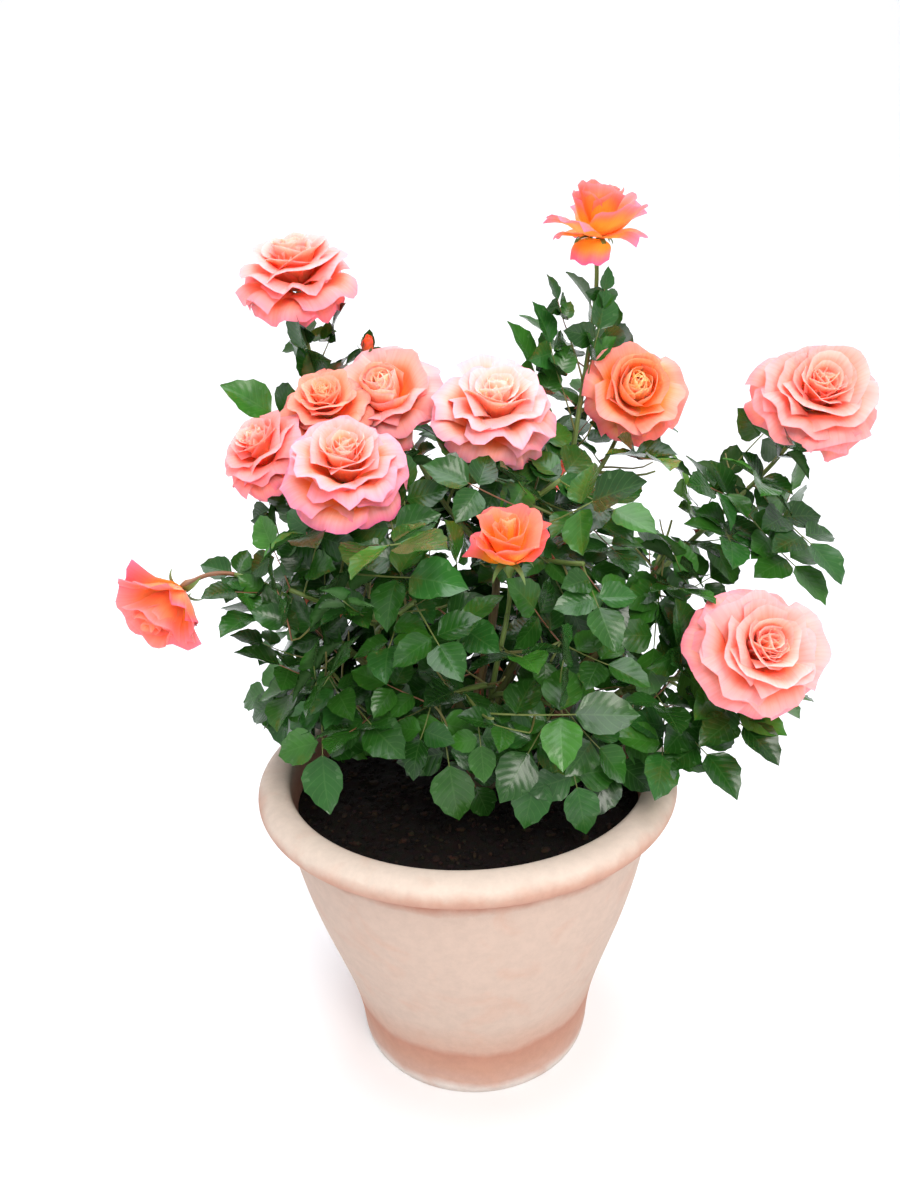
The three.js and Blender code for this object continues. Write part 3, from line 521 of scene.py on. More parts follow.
# %% Compost surface
def lumps(x, y, size, seed):
    """Smooth random heights between -1 and 1: random values at the corners of squares, blended between them."""
    corner = np.random.default_rng(seed).uniform(-1, 1, (128, 128))
    column, row = x / size + 64, y / size + 64
    i, j = np.floor(column).astype(int), np.floor(row).astype(int)
    s, t = (part * part * (3 - 2 * part) for part in (column - i, row - j))
    low = corner[i, j] * (1 - s) + corner[i + 1, j] * s
    high = corner[i, j + 1] * (1 - s) + corner[i + 1, j + 1] * s
    return low * (1 - t) + high * t


def ground(x, y):
    """Height of the compost's surface over its flat solid: lumps 30, 11 and 5 mm wide, added."""
    rough = 2.6 * lumps(x, y, 30, 1) + 1.5 * lumps(x, y, 11, 2) + 1.1 * lumps(x, y, 5, 3)
    return rough - 2.5


brim = np.interp(SOIL_TOP, pot_wall(WALL)[:, 1], pot_wall(WALL)[:, 0]) - 1.2
below = pot_wall(WALL + 0.6)[::-1]
below = below[(below[:, 1] > FLOOR + 14) & (below[:, 1] < SOIL_TOP - 12)]
soil_outline = np.concatenate([
    np.stack([np.linspace(brim, 2, 84), np.full(84, SOIL_TOP)], axis=1)[::-1], below,
    [(FOOT_RADIUS - WALL - 12, FLOOR + 1), (2, FLOOR + 1)],
])[::-1]
soil = turned_shape(soil_outline, "#19120e", columns=220)
on_top = soil["at"][:, 2] > SOIL_TOP - FOOT[2] - 0.1
soil["at"][on_top, 2] += ground(soil["at"][on_top, 0], soil["at"][on_top, 1])
print("compost points:", len(soil["at"]))

# %% [markdown]
# Loose clods and chips of bark lie on top. Each is a small ball, squashed and dented at random, in one of
# five browns. One mesh holds them all, with the compost under them.

# %% Clods and bark chips
dice = np.random.default_rng(5)
CLODS, CLOD_RINGS, CLOD_SIDES = 1500, 4, 6
reach = (brim - 6) * np.sqrt(dice.uniform(0, 1, CLODS))
way = dice.uniform(0, 2 * np.pi, CLODS)
east, north = reach * np.cos(way) - FOOT[0], reach * np.sin(way) - FOOT[1]
middle = np.stack([east, north, ground(east, north) + 0.3], axis=1)
wide = dice.uniform(0.9, 3.4, (CLODS, 3)) * dice.choice([1, 1, 1.7], (CLODS, 1)) * [1, 1, 0.6]
level = np.linspace(-0.8, 0.8, CLOD_RINGS)[:, None]
round_it = np.linspace(0, 2 * np.pi, CLOD_SIDES, endpoint=False)[None]
girth = np.sqrt(1 - level ** 2)
ball = np.stack(np.broadcast_arrays(girth * np.cos(round_it), girth * np.sin(round_it), level), axis=-1)
dents = dice.uniform(0.7, 1.25, (CLODS, CLOD_RINGS, CLOD_SIDES, 1))
clods = middle[:, None, None] + ball * dents * wide[:, None, None]
browns = np.array([linear(colour) for colour in ("#120d0a", "#1b130f", "#261b15", "#34271d", "#171110")])
brown_of = browns[dice.integers(0, len(browns), CLODS)]
chips = [tube_from_rings(rings, np.zeros((CLOD_RINGS, CLOD_SIDES, 2)), np.broadcast_to(colour, rings.shape))
         for rings, colour in zip(clods, brown_of)]
make_piece("compost", join([soil] + chips), compost, "compost", "soil")
print("clods:", CLODS)

# %% [markdown]
# ## How the bush is built up
# Ten canes spring from a knuckle at soil level. Where the wood of a cane ends, a stem runs on from its
# tip, and other stems fork from that one. Each stem is a shoot, and most shoots end in a bloom on a bare
# stalk. The table holds what the solids were made from: the way each cane leaves the knuckle and where
# it ends, and for each shoot where it forks, its side twigs, its leaves, and its bloom or its tip.

# %% Canes and shoots
def flower(across, at, faces, form="open"):
    """The bloom at a shoot's end: how wide it is, where it lies, which way it looks, and how open it is."""
    return {"across": across, "at": at, "faces": faces, "form": form}


CANES = {
    "left": {"azimuth": 190, "rise": 35, "tip": (-112, 5, 468), "shoots": {
        "far_left": {"twigs": 1, "leaves": 4, "bloom": flower(80, (-299, -50, 563), (-0.78, -0.35, -0.45), "half")},
        "skirt_left": {"from": 0.03, "twigs": 1, "leaves": 5, "tip": (-150, -72, 462)},
    }},
    "front_left": {"azimuth": 215, "rise": 60, "tip": (-86, -18, 500), "shoots": {
        "front_left": {"twigs": 1, "leaves": 3, "bloom": flower(128, (-101, -69, 691), (0.05, -0.7, 0.72))},
        "left": {"from": 0.16, "twigs": 1, "leaves": 4, "bloom": flower(94, (-201, 15, 685), (-0.35, -0.65, 0.65))},
        "inner_left": {"from": 0.08, "twigs": 1, "leaves": 4, "tip": (-165, -62, 570)},
        "inner_front": {"from": 0.04, "twigs": 1, "leaves": 4, "tip": (-42, -110, 570)},
    }},
    "centre_left": {"azimuth": 150, "rise": 62, "tip": (-66, 60, 540), "shoots": {
        "top_left": {"twigs": 1, "leaves": 4, "bloom": flower(122, (-157, 106, 846), (0, -0.45, 0.9))},
        "bud": {"from": 0.25, "twigs": 0, "leaves": 2, "bloom": flower(17, (-88, 118, 784), (0.1, -0.3, 1), "bud")},
        "upper_left": {"from": 0.14, "twigs": 0, "leaves": 2,
                       "bloom": flower(100, (-129, 41, 737), (0, -0.6, 0.8))},
    }},
    "centre": {"azimuth": 250, "rise": 86, "tip": (40, 34, 545), "shoots": {
        "centre": {"twigs": 1, "leaves": 3, "bloom": flower(130, (46, 22, 724), (0.15, -0.55, 0.82))},
        "mid_left": {"from": 0.12, "twigs": 1, "leaves": 3,
                     "bloom": flower(106, (-58, 76, 732), (-0.1, -0.72, 0.68))},
        "inner_centre": {"from": 0.3, "twigs": 1, "leaves": 4, "tip": (104, -6, 655)},
        "inner_middle": {"from": 0.05, "twigs": 1, "leaves": 4, "tip": (118, -78, 590)},
    }},
    "front": {"azimuth": 275, "rise": 42, "tip": (28, -52, 440), "shoots": {
        "front": {"twigs": 1, "leaves": 4, "bloom": flower(66, (49, -105, 621), (0.02, -0.22, 0.97), "half")},
        "skirt_front": {"from": 0.1, "twigs": 1, "leaves": 5, "tip": (-34, -118, 470)},
        "skirt_middle": {"from": 0.03, "twigs": 1, "leaves": 5, "tip": (96, -108, 456)},
    }},
    "right": {"azimuth": 30, "rise": 64, "tip": (118, 82, 590), "shoots": {
        "top_right": {"twigs": 1, "leaves": 5, "bloom": flower(86, (160, 96, 892), (0.08, -0.2, 0.97), "half")},
        "right": {"from": 0.06, "twigs": 1, "leaves": 4, "bloom": flower(108, (195, 80, 731), (0.02, -0.88, 0.46))},
    }},
    "far_right": {"azimuth": 5, "rise": 38, "tip": (178, 18, 500), "shoots": {
        "far_right": {"twigs": 1, "leaves": 5, "bloom": flower(128, (355, -5, 727), (0.05, -0.75, 0.65))},
        "inner_right": {"from": 0.04, "twigs": 1, "leaves": 5, "tip": (214, -26, 590)},
    }},
    "low_right": {"azimuth": 330, "rise": 20, "tip": (170, -20, 428), "shoots": {
        "low_right": {"twigs": 1, "leaves": 3, "bloom": flower(136, (272, -126, 510), (0.1, -0.8, 0.58))},
        "skirt_right": {"from": 0.04, "twigs": 1, "leaves": 5, "tip": (214, -66, 420)},
    }},
    "back_left": {"azimuth": 122, "rise": 36, "tip": (-74, 132, 465), "shoots": {
        "back_left": {"twigs": 1, "leaves": 4, "bloom": flower(108, (-112, 214, 668), (-0.2, 0.75, 0.62))},
        "skirt_back_left": {"from": 0.04, "twigs": 1, "leaves": 5, "tip": (-160, 150, 480)},
        "inner_back": {"from": 0.1, "twigs": 1, "leaves": 4, "tip": (-8, 180, 600)},
    }},
    "back_right": {"azimuth": 62, "rise": 38, "tip": (86, 140, 470), "shoots": {
        "back_right": {"twigs": 1, "leaves": 4, "bloom": flower(112, (88, 232, 640), (0.2, 0.8, 0.56))},
        "skirt_back": {"from": 0.04, "twigs": 1, "leaves": 4, "tip": (12, 190, 480)},
        "skirt_back_right": {"from": 0.1, "twigs": 1, "leaves": 5, "tip": (178, 140, 490)},
    }},
}

CANE_OF = {name: cane_name for cane_name, cane in CANES.items() for name in cane["shoots"]}
SHOOTS = {name: shoot for cane in CANES.values() for name, shoot in cane["shoots"].items()}
BLOOMS = {name: shoot["bloom"] for name, shoot in SHOOTS.items() if "bloom" in shoot}
print("canes:", len(CANES), "shoots:", len(SHOOTS), "blooms:", len(BLOOMS))

# %% [markdown]
# Every cane and stem is a cubic Bezier curve that leaves one point in a known direction and reaches
# another in a known direction. Places on it are counted by length along the curve, so that leaves are
# spaced evenly: the curve is measured in 200 short steps, and a share of its length is looked up there.

# %% Curves measured by length
CLEAR, KNUCKLE_RADIUS, KNUCKLE_HEIGHT, STALK_LENGTH = 0.3, 28, 38, 48  # mm, the height to the ball's middle
STEPS = 201  # points at which a curve is measured


class Line:
    """A cubic Bezier curve from start to end, leaving along one direction and arriving along another."""

    def __init__(self, start, leaves, end, arrives, pull=0.38):
        reach = np.linalg.norm(end - start) * pull
        self.corners = np.array([start, start + leaves * reach, end - arrives * reach, end])
        steps = np.linalg.norm(np.diff(bezier(self.corners, STEPS), axis=0), axis=1)
        self.run = np.concatenate([[0], np.cumsum(steps)])
        self.length = self.run[-1]

    def moment(self, share):
        """The curve's own t where a share of its length is passed."""
        return np.interp(np.asarray(share) * self.length, self.run, np.linspace(0, 1, STEPS))

    def at(self, share):
        """Place on the curve: its corners weighted by the terms of (1 - t + t) cubed."""
        t = np.atleast_1d(self.moment(share))[:, None]
        weights = np.hstack([(1 - t) ** 3, 3 * t * (1 - t) ** 2, 3 * t ** 2 * (1 - t), t ** 3])
        return np.squeeze(weights @ self.corners)

    def along(self, share):
        """Direction of the curve: the slope of the Bezier polynomial, made a unit vector."""
        t = np.atleast_1d(self.moment(share))[:, None]
        weights = np.hstack([(1 - t) ** 2, 2 * t * (1 - t), t ** 2])
        return np.squeeze(unit(weights @ np.diff(self.corners, axis=0)))

    def stretch(self, low, high):
        """The stretch between two shares of the length, as a curve of its own."""
        return Line(self.at(low), self.along(low), self.at(high), self.along(high), 1 / 3)


print("lengths are read from", STEPS, "points")

# %% [markdown]
# A cane starts on the knuckle's surface and ends where its wood ends. Its first shoot, the leader, runs on
# from there, and the other shoots fork from the leader. A stem ends in a bare tip or at the back of its
# bloom, and the last 48 mm before a bloom are a stalk without leaves.

# %% Lines of canes and stems
DEPTH = {"open": 0.24, "half": 0.42, "bud": 0.9}  # of a bloom behind its middle, in shares of its width


def in_bush(point):
    """A place in the shared frame, in mm, counted from the foot of the bush."""
    return np.array(point, float) - FOOT


def faces_of(bloom):
    """The way a bloom looks, as a unit vector."""
    return unit(np.array(bloom["faces"], float))


def shoot_end(shoot):
    """A shoot's line ends at the tip of its stem, or behind its bloom."""
    if "tip" in shoot:
        return in_bush(shoot["tip"])
    bloom = shoot["bloom"]
    return in_bush(bloom["at"]) - DEPTH[bloom["form"]] * bloom["across"] * faces_of(bloom)


def cane_line(cane):
    """From the knuckle's surface, along its own azimuth and rise, to where the wood ends."""
    turn, lift = math.radians(cane["azimuth"]), math.radians(cane["rise"])
    leaves = np.array([math.cos(turn) * math.cos(lift), math.sin(turn) * math.cos(lift), math.sin(lift)])
    start = np.array([0, 0, KNUCKLE_HEIGHT]) + leaves * (KNUCKLE_RADIUS + CLEAR)
    tip = in_bush(cane["tip"])
    leader = next(iter(cane["shoots"].values()))
    return Line(start, leaves, tip, unit(unit(shoot_end(leader) - tip) + 0.35 * UP))


def shoot_line(shoot, start, leaves):
    """A stem from its start to its end. It arrives at a bloom mostly from behind, at a bare tip straight on."""
    end = shoot_end(shoot)
    arrives = 0.75 * faces_of(shoot["bloom"]) + 0.25 * UP if "bloom" in shoot else end - start
    return Line(start, leaves, end, unit(arrives))


def fork_line(leader, shoot):
    """A fork leaves its leader's middle line, partly along it and partly to the side where its own end is."""
    fork, along = leader.at(shoot["from"]), leader.along(shoot["from"])
    side = shoot_end(shoot) - fork
    side = unit(side - along * (side @ along))
    return shoot_line(shoot, fork, unit(0.8 * along + side))


wood, shoots = {}, {}
for cane_name, cane in CANES.items():
    wood[cane_name] = cane_line(cane)
    (leader_name, leader_shoot), *forks = cane["shoots"].items()
    start = wood[cane_name].at(1) + CLEAR * wood[cane_name].along(1)
    leader = shoot_line(leader_shoot, start, wood[cane_name].along(1))
    shoots[cane_name] = {leader_name: leader, **{name: fork_line(leader, shoot) for name, shoot in forks}}


def stalk_share(cane_name, name):
    """Where the leafy stem ends and the bloom's bare stalk begins."""
    return 1 - STALK_LENGTH / shoots[cane_name][name].length if name in BLOOMS else 1


stems = {cane_name: {name: line.stretch(0, stalk_share(cane_name, name)) for name, line in lines.items()}
         for cane_name, lines in shoots.items()}
print("metres of stem:", round(sum(line.length for lines in stems.values() for line in lines.values()) / 1000, 2))

# %% [markdown]
# ## Canes, knuckle and thorns
# The knuckle is the swollen graft where the canes begin, rough and brown: a ball on a foot that spreads
# on the compost. The canes are green-brown and taper a little, with slight knots and a collar where they
# leave the knuckle.

# %% Knuckle and canes
CANE_BASE, CANE_TIP = 6.3, 4.3  # radii in mm
rise = np.linspace(-0.9, np.pi / 2 - 0.05, 22)
knuckle_ball = np.stack([KNUCKLE_RADIUS * np.cos(rise), KNUCKLE_HEIGHT + KNUCKLE_RADIUS * np.sin(rise)], axis=1)
knuckle_outline = np.concatenate([[(1, -1.5), (33, -1.5), (31, 1), (26, 7), (22.5, 13)], knuckle_ball])
knuckle = turned_shape(knuckle_outline, "#6d6246", columns=40)
knuckle["at"] += FOOT
east, north, height = knuckle["at"].T
gnarl = 1 + 0.05 * lumps(east + height, north, 9, 6)
knuckle["at"][:, :2] *= gnarl[:, None]
shares = np.linspace(0, 1, 26)
cane_colours = ("#6f7a3c", "#7b7440", "#65743a", "#7c6c42", "#6a7338")
cane_tubes = []
for index, line in enumerate(wood.values()):
    collar = 1 + 0.45 * np.exp(-(shares / 0.05) ** 2)
    radii = (CANE_BASE + (CANE_TIP - CANE_BASE) * shares) * collar
    cane_tubes.append(tube(line.at(shares), radii, cane_colours[index % len(cane_colours)], 14, 0.02, index))
make_piece("canes", join([knuckle] + cane_tubes), bark, "cane", "knuckle", *(f"cane_{name}" for name in CANES))
print("canes made:", len(cane_tubes))

# %% [markdown]
# Thorns are hooked, and red when young. Each is a cone whose rings slide down the stem, the outer ones
# the most. They sit at random places round each cane and stem, and are all one mesh.

# %% Thorns
THORN_RINGS, THORN_SIDES = 5, 6
WOOD_SPACING, STEM_SPACING = 19, 34  # mm from thorn to thorn, on average


def thorns(line, low, high, count, radius, dice):
    """Hooked cones: each ring shrinks with the power 1.5 of what is left of the height, and slides down the
    stem with the square of its share of the height."""
    share = dice.uniform(low, high, count)
    at, along = line.at(share).reshape(-1, 3), line.along(share).reshape(-1, 3)
    any_way = unit(dice.normal(size=(count, 3)))
    out = unit(any_way - along * (any_way * along).sum(axis=1, keepdims=True))
    aside = np.cross(along, out)
    tall = dice.uniform(5, 8.5, (count, 1, 1, 1)) * (0.6 + 0.4 * radius / CANE_BASE)
    up = np.linspace(0, 1, THORN_RINGS)[None, :, None, None]
    turn = np.linspace(0, 2 * np.pi, THORN_SIDES, endpoint=False)[None, None, :, None]
    flat = (1 - up) ** 1.5 * 0.42 + 0.02
    wide = tall * flat * (np.cos(turn) * along[:, None, None] * 1.5 + np.sin(turn) * aside[:, None, None] * 0.6)
    lift = (radius - 0.8 + tall * up) * out[:, None, None]
    hook = -tall * 0.45 * up ** 2 * along[:, None, None]
    rings = at[:, None, None] + lift + hook + wide
    shade = linear("#8e4a34") * (1 - up) + linear("#c46a48") * up + 0 * rings
    spread = np.zeros((THORN_RINGS, THORN_SIDES, 2))
    return [tube_from_rings(ring[:, ::-1], spread, colour) for ring, colour in zip(rings, shade)]


dice = np.random.default_rng(8)
all_thorns = []
for cane_name, line in wood.items():
    all_thorns += thorns(line, 0.15, 0.97, int(line.length / WOOD_SPACING), 5, dice)
    for stem in stems[cane_name].values():
        all_thorns += thorns(stem, 0.1, 0.95, int(stem.length / STEM_SPACING), 3, dice)
make_piece("thorns", join(all_thorns), bark, "cane", "knuckle")
print("thorns:", len(all_thorns))

# %% [markdown]
# ## Blooms
# A bloom is a spiral of petals, each turned by the golden angle from the last. The inner ones stand
# upright and wrap round the heart, and the outer ones lean out and roll back. The midline of a petal is
# an arc of a circle, from a start angle at the claw to an end angle at the tip. Across it, the petal
# wraps about the bloom's axis: tightly in the heart, hardly at all outside. Each measure is given at a
# few places from the heart outwards, in shares of the bloom's radius, and read off between them.

# %% Petal measures
STRAIGHT = {"wrap": (1, 1, 1, 1, 1), "cup": (0, 0, 0, 0, 0)}  # for forms that don't say otherwise
FORMS = {
    "open": {
        "petals": 32, "shoulder": 0.24, "waves": (0.8, 1.5),
        "claw_out": (0.02, 0.05, 0.09, 0.12, 0.13), "claw_up": (0.18, 0.13, 0.09, 0.05, 0.01),
        "start": (-2, 12, 34, 54, 62), "end": (-8, -2, 14, 70, 122),
        "length": (0.7, 0.8, 0.9, 0.96, 0.93), "half_width": (0.28, 0.44, 0.6, 0.64, 0.62),
        "wrap": (1, 1, 1.1, 1.6, 2.4), "cup": (0, 0.02, 0.06, 0.08, 0.04),
        "roll": (0.01, 0.06, 0.15, 0.18, 0.14), "ruffle": (0.01, 0.02, 0.04, 0.08, 0.11),
    },
    "round": {
        "petals": 29, "shoulder": 0.2, "waves": (0.8, 1.5),
        "claw_out": (0.02, 0.05, 0.09, 0.12, 0.13), "claw_up": (0.1, 0.1, 0.08, 0.05, 0.01),
        "start": (6, 40, 58, 60, 62), "end": (-10, -30, -28, 60, 122),
        "length": (0.84, 0.88, 0.94, 0.96, 0.92), "half_width": (0.3, 0.46, 0.62, 0.62, 0.62),
        "wrap": (1, 1, 1, 1.5, 2.4), "cup": (0, 0, 0.03, 0.08, 0.04),
        "roll": (0, 0, 0.1, 0.18, 0.14), "ruffle": (0, 0, 0.02, 0.07, 0.11),
    },
    "half": {
        "petals": 16, "shoulder": 0.12, "waves": (0.8, 1.4),
        "claw_out": (0.02, 0.06, 0.1, 0.12, 0.12), "claw_up": (0.24, 0.18, 0.12, 0.06, 0.02),
        "start": (8, 40, 60, 74, 84), "end": (-6, -8, -4, 6, 128),
        "length": (0.95, 1.05, 1.16, 1.22, 0.95), "half_width": (0.28, 0.46, 0.64, 0.74, 0.58),
        "wrap": (1, 1, 1, 1, 1.4), "cup": (0, 0, 0, 0, 0.04),
        "roll": (0.02, 0.08, 0.17, 0.24, 0.16), "ruffle": (0.01, 0.01, 0.02, 0.05, 0.08),
    },
    "cup": {
        "petals": 15, "shoulder": 0.12, "waves": (0.9, 1.6),
        "claw_out": (0.02, 0.06, 0.1, 0.12, 0.12), "claw_up": (0.24, 0.18, 0.12, 0.06, 0.02),
        "start": (8, 30, 46, 60, 72), "end": (-6, -8, -6, -2, 28),
        "length": (1.1, 1.18, 1.26, 1.28, 1.1), "half_width": (0.28, 0.46, 0.62, 0.72, 0.7),
        "roll": (0.02, 0.08, 0.17, 0.28, 0.3), "ruffle": (0.01, 0.01, 0.02, 0.06, 0.08),
    },
    "bud": {
        "petals": 7, "shoulder": 0.26, "waves": (0.7, 1.2),
        "claw_out": (0.1, 0.2, 0.3, 0.38, 0.4), "claw_up": (0.1, 0.08, 0.05, 0.02, 0),
        "start": (12, 16, 20, 24, 26), "end": (-14, -16, -18, -20, -20),
        "length": (2.7, 2.65, 2.6, 2.5, 2.4), "half_width": (0.9, 1, 1.1, 1.1, 1.1),
        "roll": (0, 0, 0, 0.02, 0.03), "ruffle": (0, 0, 0.01, 0.01, 0.01),
    },
}
print("forms of bloom:", len(FORMS))

# %% [markdown]
# Each bloom has its own salmon. A petal is warm yellow at the claw and orange in the heart, and that
# orange is held on where the petals fold against each other: the flower's own colour with painted shade
# and glow of the folds. Its blade turns from the core's tone to pink outwards, and so does its lighter rim,
# which on the inner petals is partly a painted highlight. The back keeps more yellow.
# Blooms that are older, younger or more in the sun differ from the usual tones in the table's colours.

# %% Petal colours
# heart is the orange of the heart and the fold zone: the flower's own orange with painted shade and glow of the
# folds. edge is the pale rim of inner petals, partly a painted highlight.
SALMON = {"claw": "#ff9a18", "heart": "#ff7e3c", "core": "#ffae80", "blade": "#ffa094", "edge": "#ffdcd2",
          "margin": "#fc7894", "back": "#ffa070"}
COLOURS = {
    "left": {"heart": "#ff6c3c", "core": "#ff9870", "blade": "#ff968c", "edge": "#ffcac0"},
    "front_left": {"heart": "#ff8c34", "core": "#ffb478", "blade": "#ffa8a0", "margin": "#fb6c9e"},
    "top_left": {"heart": "#ff7844", "core": "#ffa684", "blade": "#ff9c8e"},
    "upper_left": {"heart": "#ff7a30", "core": "#ffa66c", "blade": "#ffa084", "edge": "#ffcab0",
                   "margin": "#fb7474"},
    "mid_left": {"heart": "#ff8448", "core": "#ffe4b8", "blade": "#ffaea4", "edge": "#ffe0d0"},
    "centre": {"heart": "#ff8c48", "core": "#ffd4ae", "blade": "#ffb4aa", "edge": "#ffe8e2", "margin": "#fb84a4"},
    "far_right": {"heart": "#ff7e4c", "core": "#ffac86", "blade": "#ff9c8e", "edge": "#ffd0c6",
                  "margin": "#fd7e8e"},
    "low_right": {"heart": "#ff804c", "core": "#ffae8a", "blade": "#ffa69a", "margin": "#fd8096"},
    "right": {"claw": "#ffb400", "heart": "#ff9420", "core": "#ffcc4c", "blade": "#ffa288", "edge": "#ffd89c",
              "margin": "#f96486", "back": "#ffb84c"},
    "top_right": {"claw": "#ffb800", "heart": "#ff9a28", "core": "#ff8c4c", "blade": "#f96e56", "edge": "#ff9c8c",
                  "margin": "#f4588c", "back": "#ffae38"},
    "front": {"claw": "#ffc008", "heart": "#ff9c24", "core": "#ff9c48", "blade": "#fd784c", "edge": "#ffac84",
              "margin": "#f9586a", "back": "#ffac30"},
    "far_left": {"claw": "#ffac18", "heart": "#ff9440", "core": "#ffb078", "blade": "#f8745e", "edge": "#ff9c8c",
                 "margin": "#f46080", "back": "#fb8c60"},
    "bud": {"claw": "#f5a03a", "heart": "#f5793a", "core": "#f0602e", "blade": "#f0602e", "edge": "#f0602e",
            "margin": "#e84a42", "back": "#f0602e"},
}
print("blooms with tones of their own:", len(COLOURS))

# %% [markdown]
# Petals and sepals bend along arcs, stand round an upright axis, and are then turned as a whole towards
# where the bloom looks. These steps are the same for both.

# %% Arcs and turns
def arc(length, start, bend, share):
    """How far out and up an arc has come at a share of its length: it starts at an angle from upright, turns
    by the bend, and the sine and cosine of the angle are summed along it."""
    out = length * (np.cos(start) - np.cos(start + bend * share)) / bend
    return out, length * (np.sin(start + bend * share) - np.sin(start)) / bend


def spun(at, turn):
    """Points turned about the upright axis: x cos - y sin, x sin + y cos."""
    x, y, z = at[..., 0], at[..., 1], at[..., 2]
    return np.stack([x * np.cos(turn) - y * np.sin(turn), x * np.sin(turn) + y * np.cos(turn), z], axis=-1)


def normals(at):
    """Unit normals of a grid: the cross product of its two slopes."""
    return unit(np.cross(np.gradient(at, axis=1), np.gradient(at, axis=2)) + 1e-12)


def turn_to(at, direction):
    """Points turned the shortest way that brings the upright axis to a direction: v + a x v + a x (a x v) /
    (1 + cos), where a is the axis crossed with the direction."""
    axis = np.cross(UP, direction)
    cosine = UP @ direction
    swing = np.cross(axis, at)
    return at + swing + np.cross(axis, swing) / (1 + cosine)


print("out and up at the end of a quarter arc:", arc(1, 0, np.pi / 2, 1))

# %% [markdown]
# The petals of one bloom are worked out together, in arrays of petal by row by column. A petal's width
# rises as a sine from its claw, its tip is rounded or notched, its side edges roll back and its margin
# ripples. No two are alike: each measure varies a little at random. A petal is half a millimetre thick.
# Its colours follow each other from the claw to the margin.

# %% Petals
GOLDEN_ANGLE, PETAL_ROWS, PETAL_COLUMNS, THICKNESS = math.radians(137.5), 10, 12, 0.5


def petal_tints(colours, outwards, u, v, like, dice):
    """Colours inside and outside: claw, heart, blade and rim follow each other along v, mixed by their shares.
    The heart's orange reaches into the folds as painted fold shade and glow, and the pale rim of inner
    petals is partly a painted highlight.
    """
    claw, heart, core, blade, edge, margin, back = (linear(colours[key]) for key in SALMON)
    part_way = lambda share: np.clip(share, 0, 1)[..., None] + 0 * like
    # On inner petals the rim takes the pale edge colour: partly the petal's own pale margin, partly a painted
    # highlight. Outer petals have a pink margin.
    rim = edge * (1 - outwards[:, None]) + margin * outwards[:, None]
    pinkness = np.clip(1.6 * outwards - 0.1, 0, 1)[:, None]
    blade = (core * (1 - pinkness) + blade * pinkness)[:, None, None]
    rim_and_highlight_share = np.clip((np.maximum(v, 0.94 * np.abs(u) * v ** 0.3) - 0.74) / 0.26, 0, 1) ** 1.5
    # The heart's orange holds up to v = 0.58, where petals fold against each other: the flower's own orange base
    # with painted shade and glow of the folds.
    inside = claw + (heart - claw) * part_way((v - 0.15) / 0.3)
    inside += (blade - heart) * part_way((v - 0.58) / 0.24)
    inside += (rim[:, None, None] - blade) * part_way(rim_and_highlight_share)
    inside *= 1 + 0.04 * dice.normal(size=(len(outwards), 1, 1, 1))
    outside = back + (inside - back) * part_way((v - 0.3) / 0.6)
    return np.clip(inside, 0, 1), np.clip(outside, 0, 1)


def petals(form, radius, colours, dice):
    """All the petals of a bloom about the upright axis, as shells. The midline is an arc, each row across it is
    an arc about the heart with the wrap as its radius, and roll and ruffle move the margin along the normal."""
    measures = {**STRAIGHT, **FORMS[form]}
    count = measures["petals"]
    outwards = np.linspace(0, 1, count)
    read = lambda key: np.interp(outwards, np.linspace(0, 1, 5), measures[key])[:, None, None]
    vary = lambda share: 1 + share * dice.normal(size=(count, 1, 1))
    any_phase = lambda: dice.uniform(0, 1, (count, 1, 1))
    row = np.linspace(0, 1, PETAL_ROWS)[None, :, None]
    v = row * (1.5 - 0.5 * row ** 2)
    u = np.linspace(-1, 1, PETAL_COLUMNS)[None, None, :]
    lean = 0.05 * dice.normal(size=(count, 1, 1)) * u + 0.03 * np.sin(2 * np.pi * (1.1 * u + any_phase()))
    notch = 0.03 * np.exp(-(u / 0.2) ** 2)
    tip = v * (1 - measures["shoulder"] * np.abs(u) ** 2.6 * vary(0.2) + lean + notch)
    start, bend = np.radians(read("start") * vary(0.12)), np.radians((read("end") - read("start")) * vary(0.12))
    bend = np.where(np.abs(bend) < 0.02, 0.02, bend)
    out, up = arc(read("length") * vary(0.05), start, bend, tip)
    out, up = read("claw_out") + out, read("claw_up") + up + read("cup") * u ** 2 * v
    half = read("half_width") * vary(0.06) * (0.34 + 0.66 * np.sin(np.pi / 2 * np.minimum(v / 0.72, 1)))
    wrap = np.maximum(np.maximum(out, 0.05) * read("wrap"), half / 2.3)
    angle = u * half / wrap
    at = np.stack([out - wrap + wrap * np.cos(angle) + 0.035 * u, wrap * np.sin(angle), up], axis=-1)
    edge = np.clip((v - 0.68) / 0.32, 0, 1) ** 2 + 0.5 * v * np.clip((np.abs(u) - 0.6) / 0.4, 0, 1) ** 2
    frill = np.sin(2 * np.pi * (dice.uniform(*measures["waves"], (count, 1, 1)) * u + any_phase()))
    shift = read("ruffle") * vary(0.2) * frill * v ** 2.5 - read("roll") * vary(0.3) * edge
    at = at + normals(at) * shift[..., None]
    turn = (np.arange(count) * GOLDEN_ANGLE + 0.12 * dice.normal(size=count))[:, None, None]
    front = radius * spun(at, turn)
    spread = np.stack(np.broadcast_arrays(u + 2.2 * np.arange(count)[:, None, None], v), axis=-1)
    inside, outside = petal_tints(colours, outwards, u, v, front, dice)
    return shells(front, front - THICKNESS * normals(front), spread, inside, outside)


print("petals in an open bloom:", FORMS["open"]["petals"])

# %% [markdown]
# Behind the petals sits the hip, a small green urn on the stalk, with five narrow sepals that have
# folded back. Those of the bud still hold its petals. Hip and stalk are one tube of changing radius,
# and a sepal is a narrow shell that arches outwards and down.

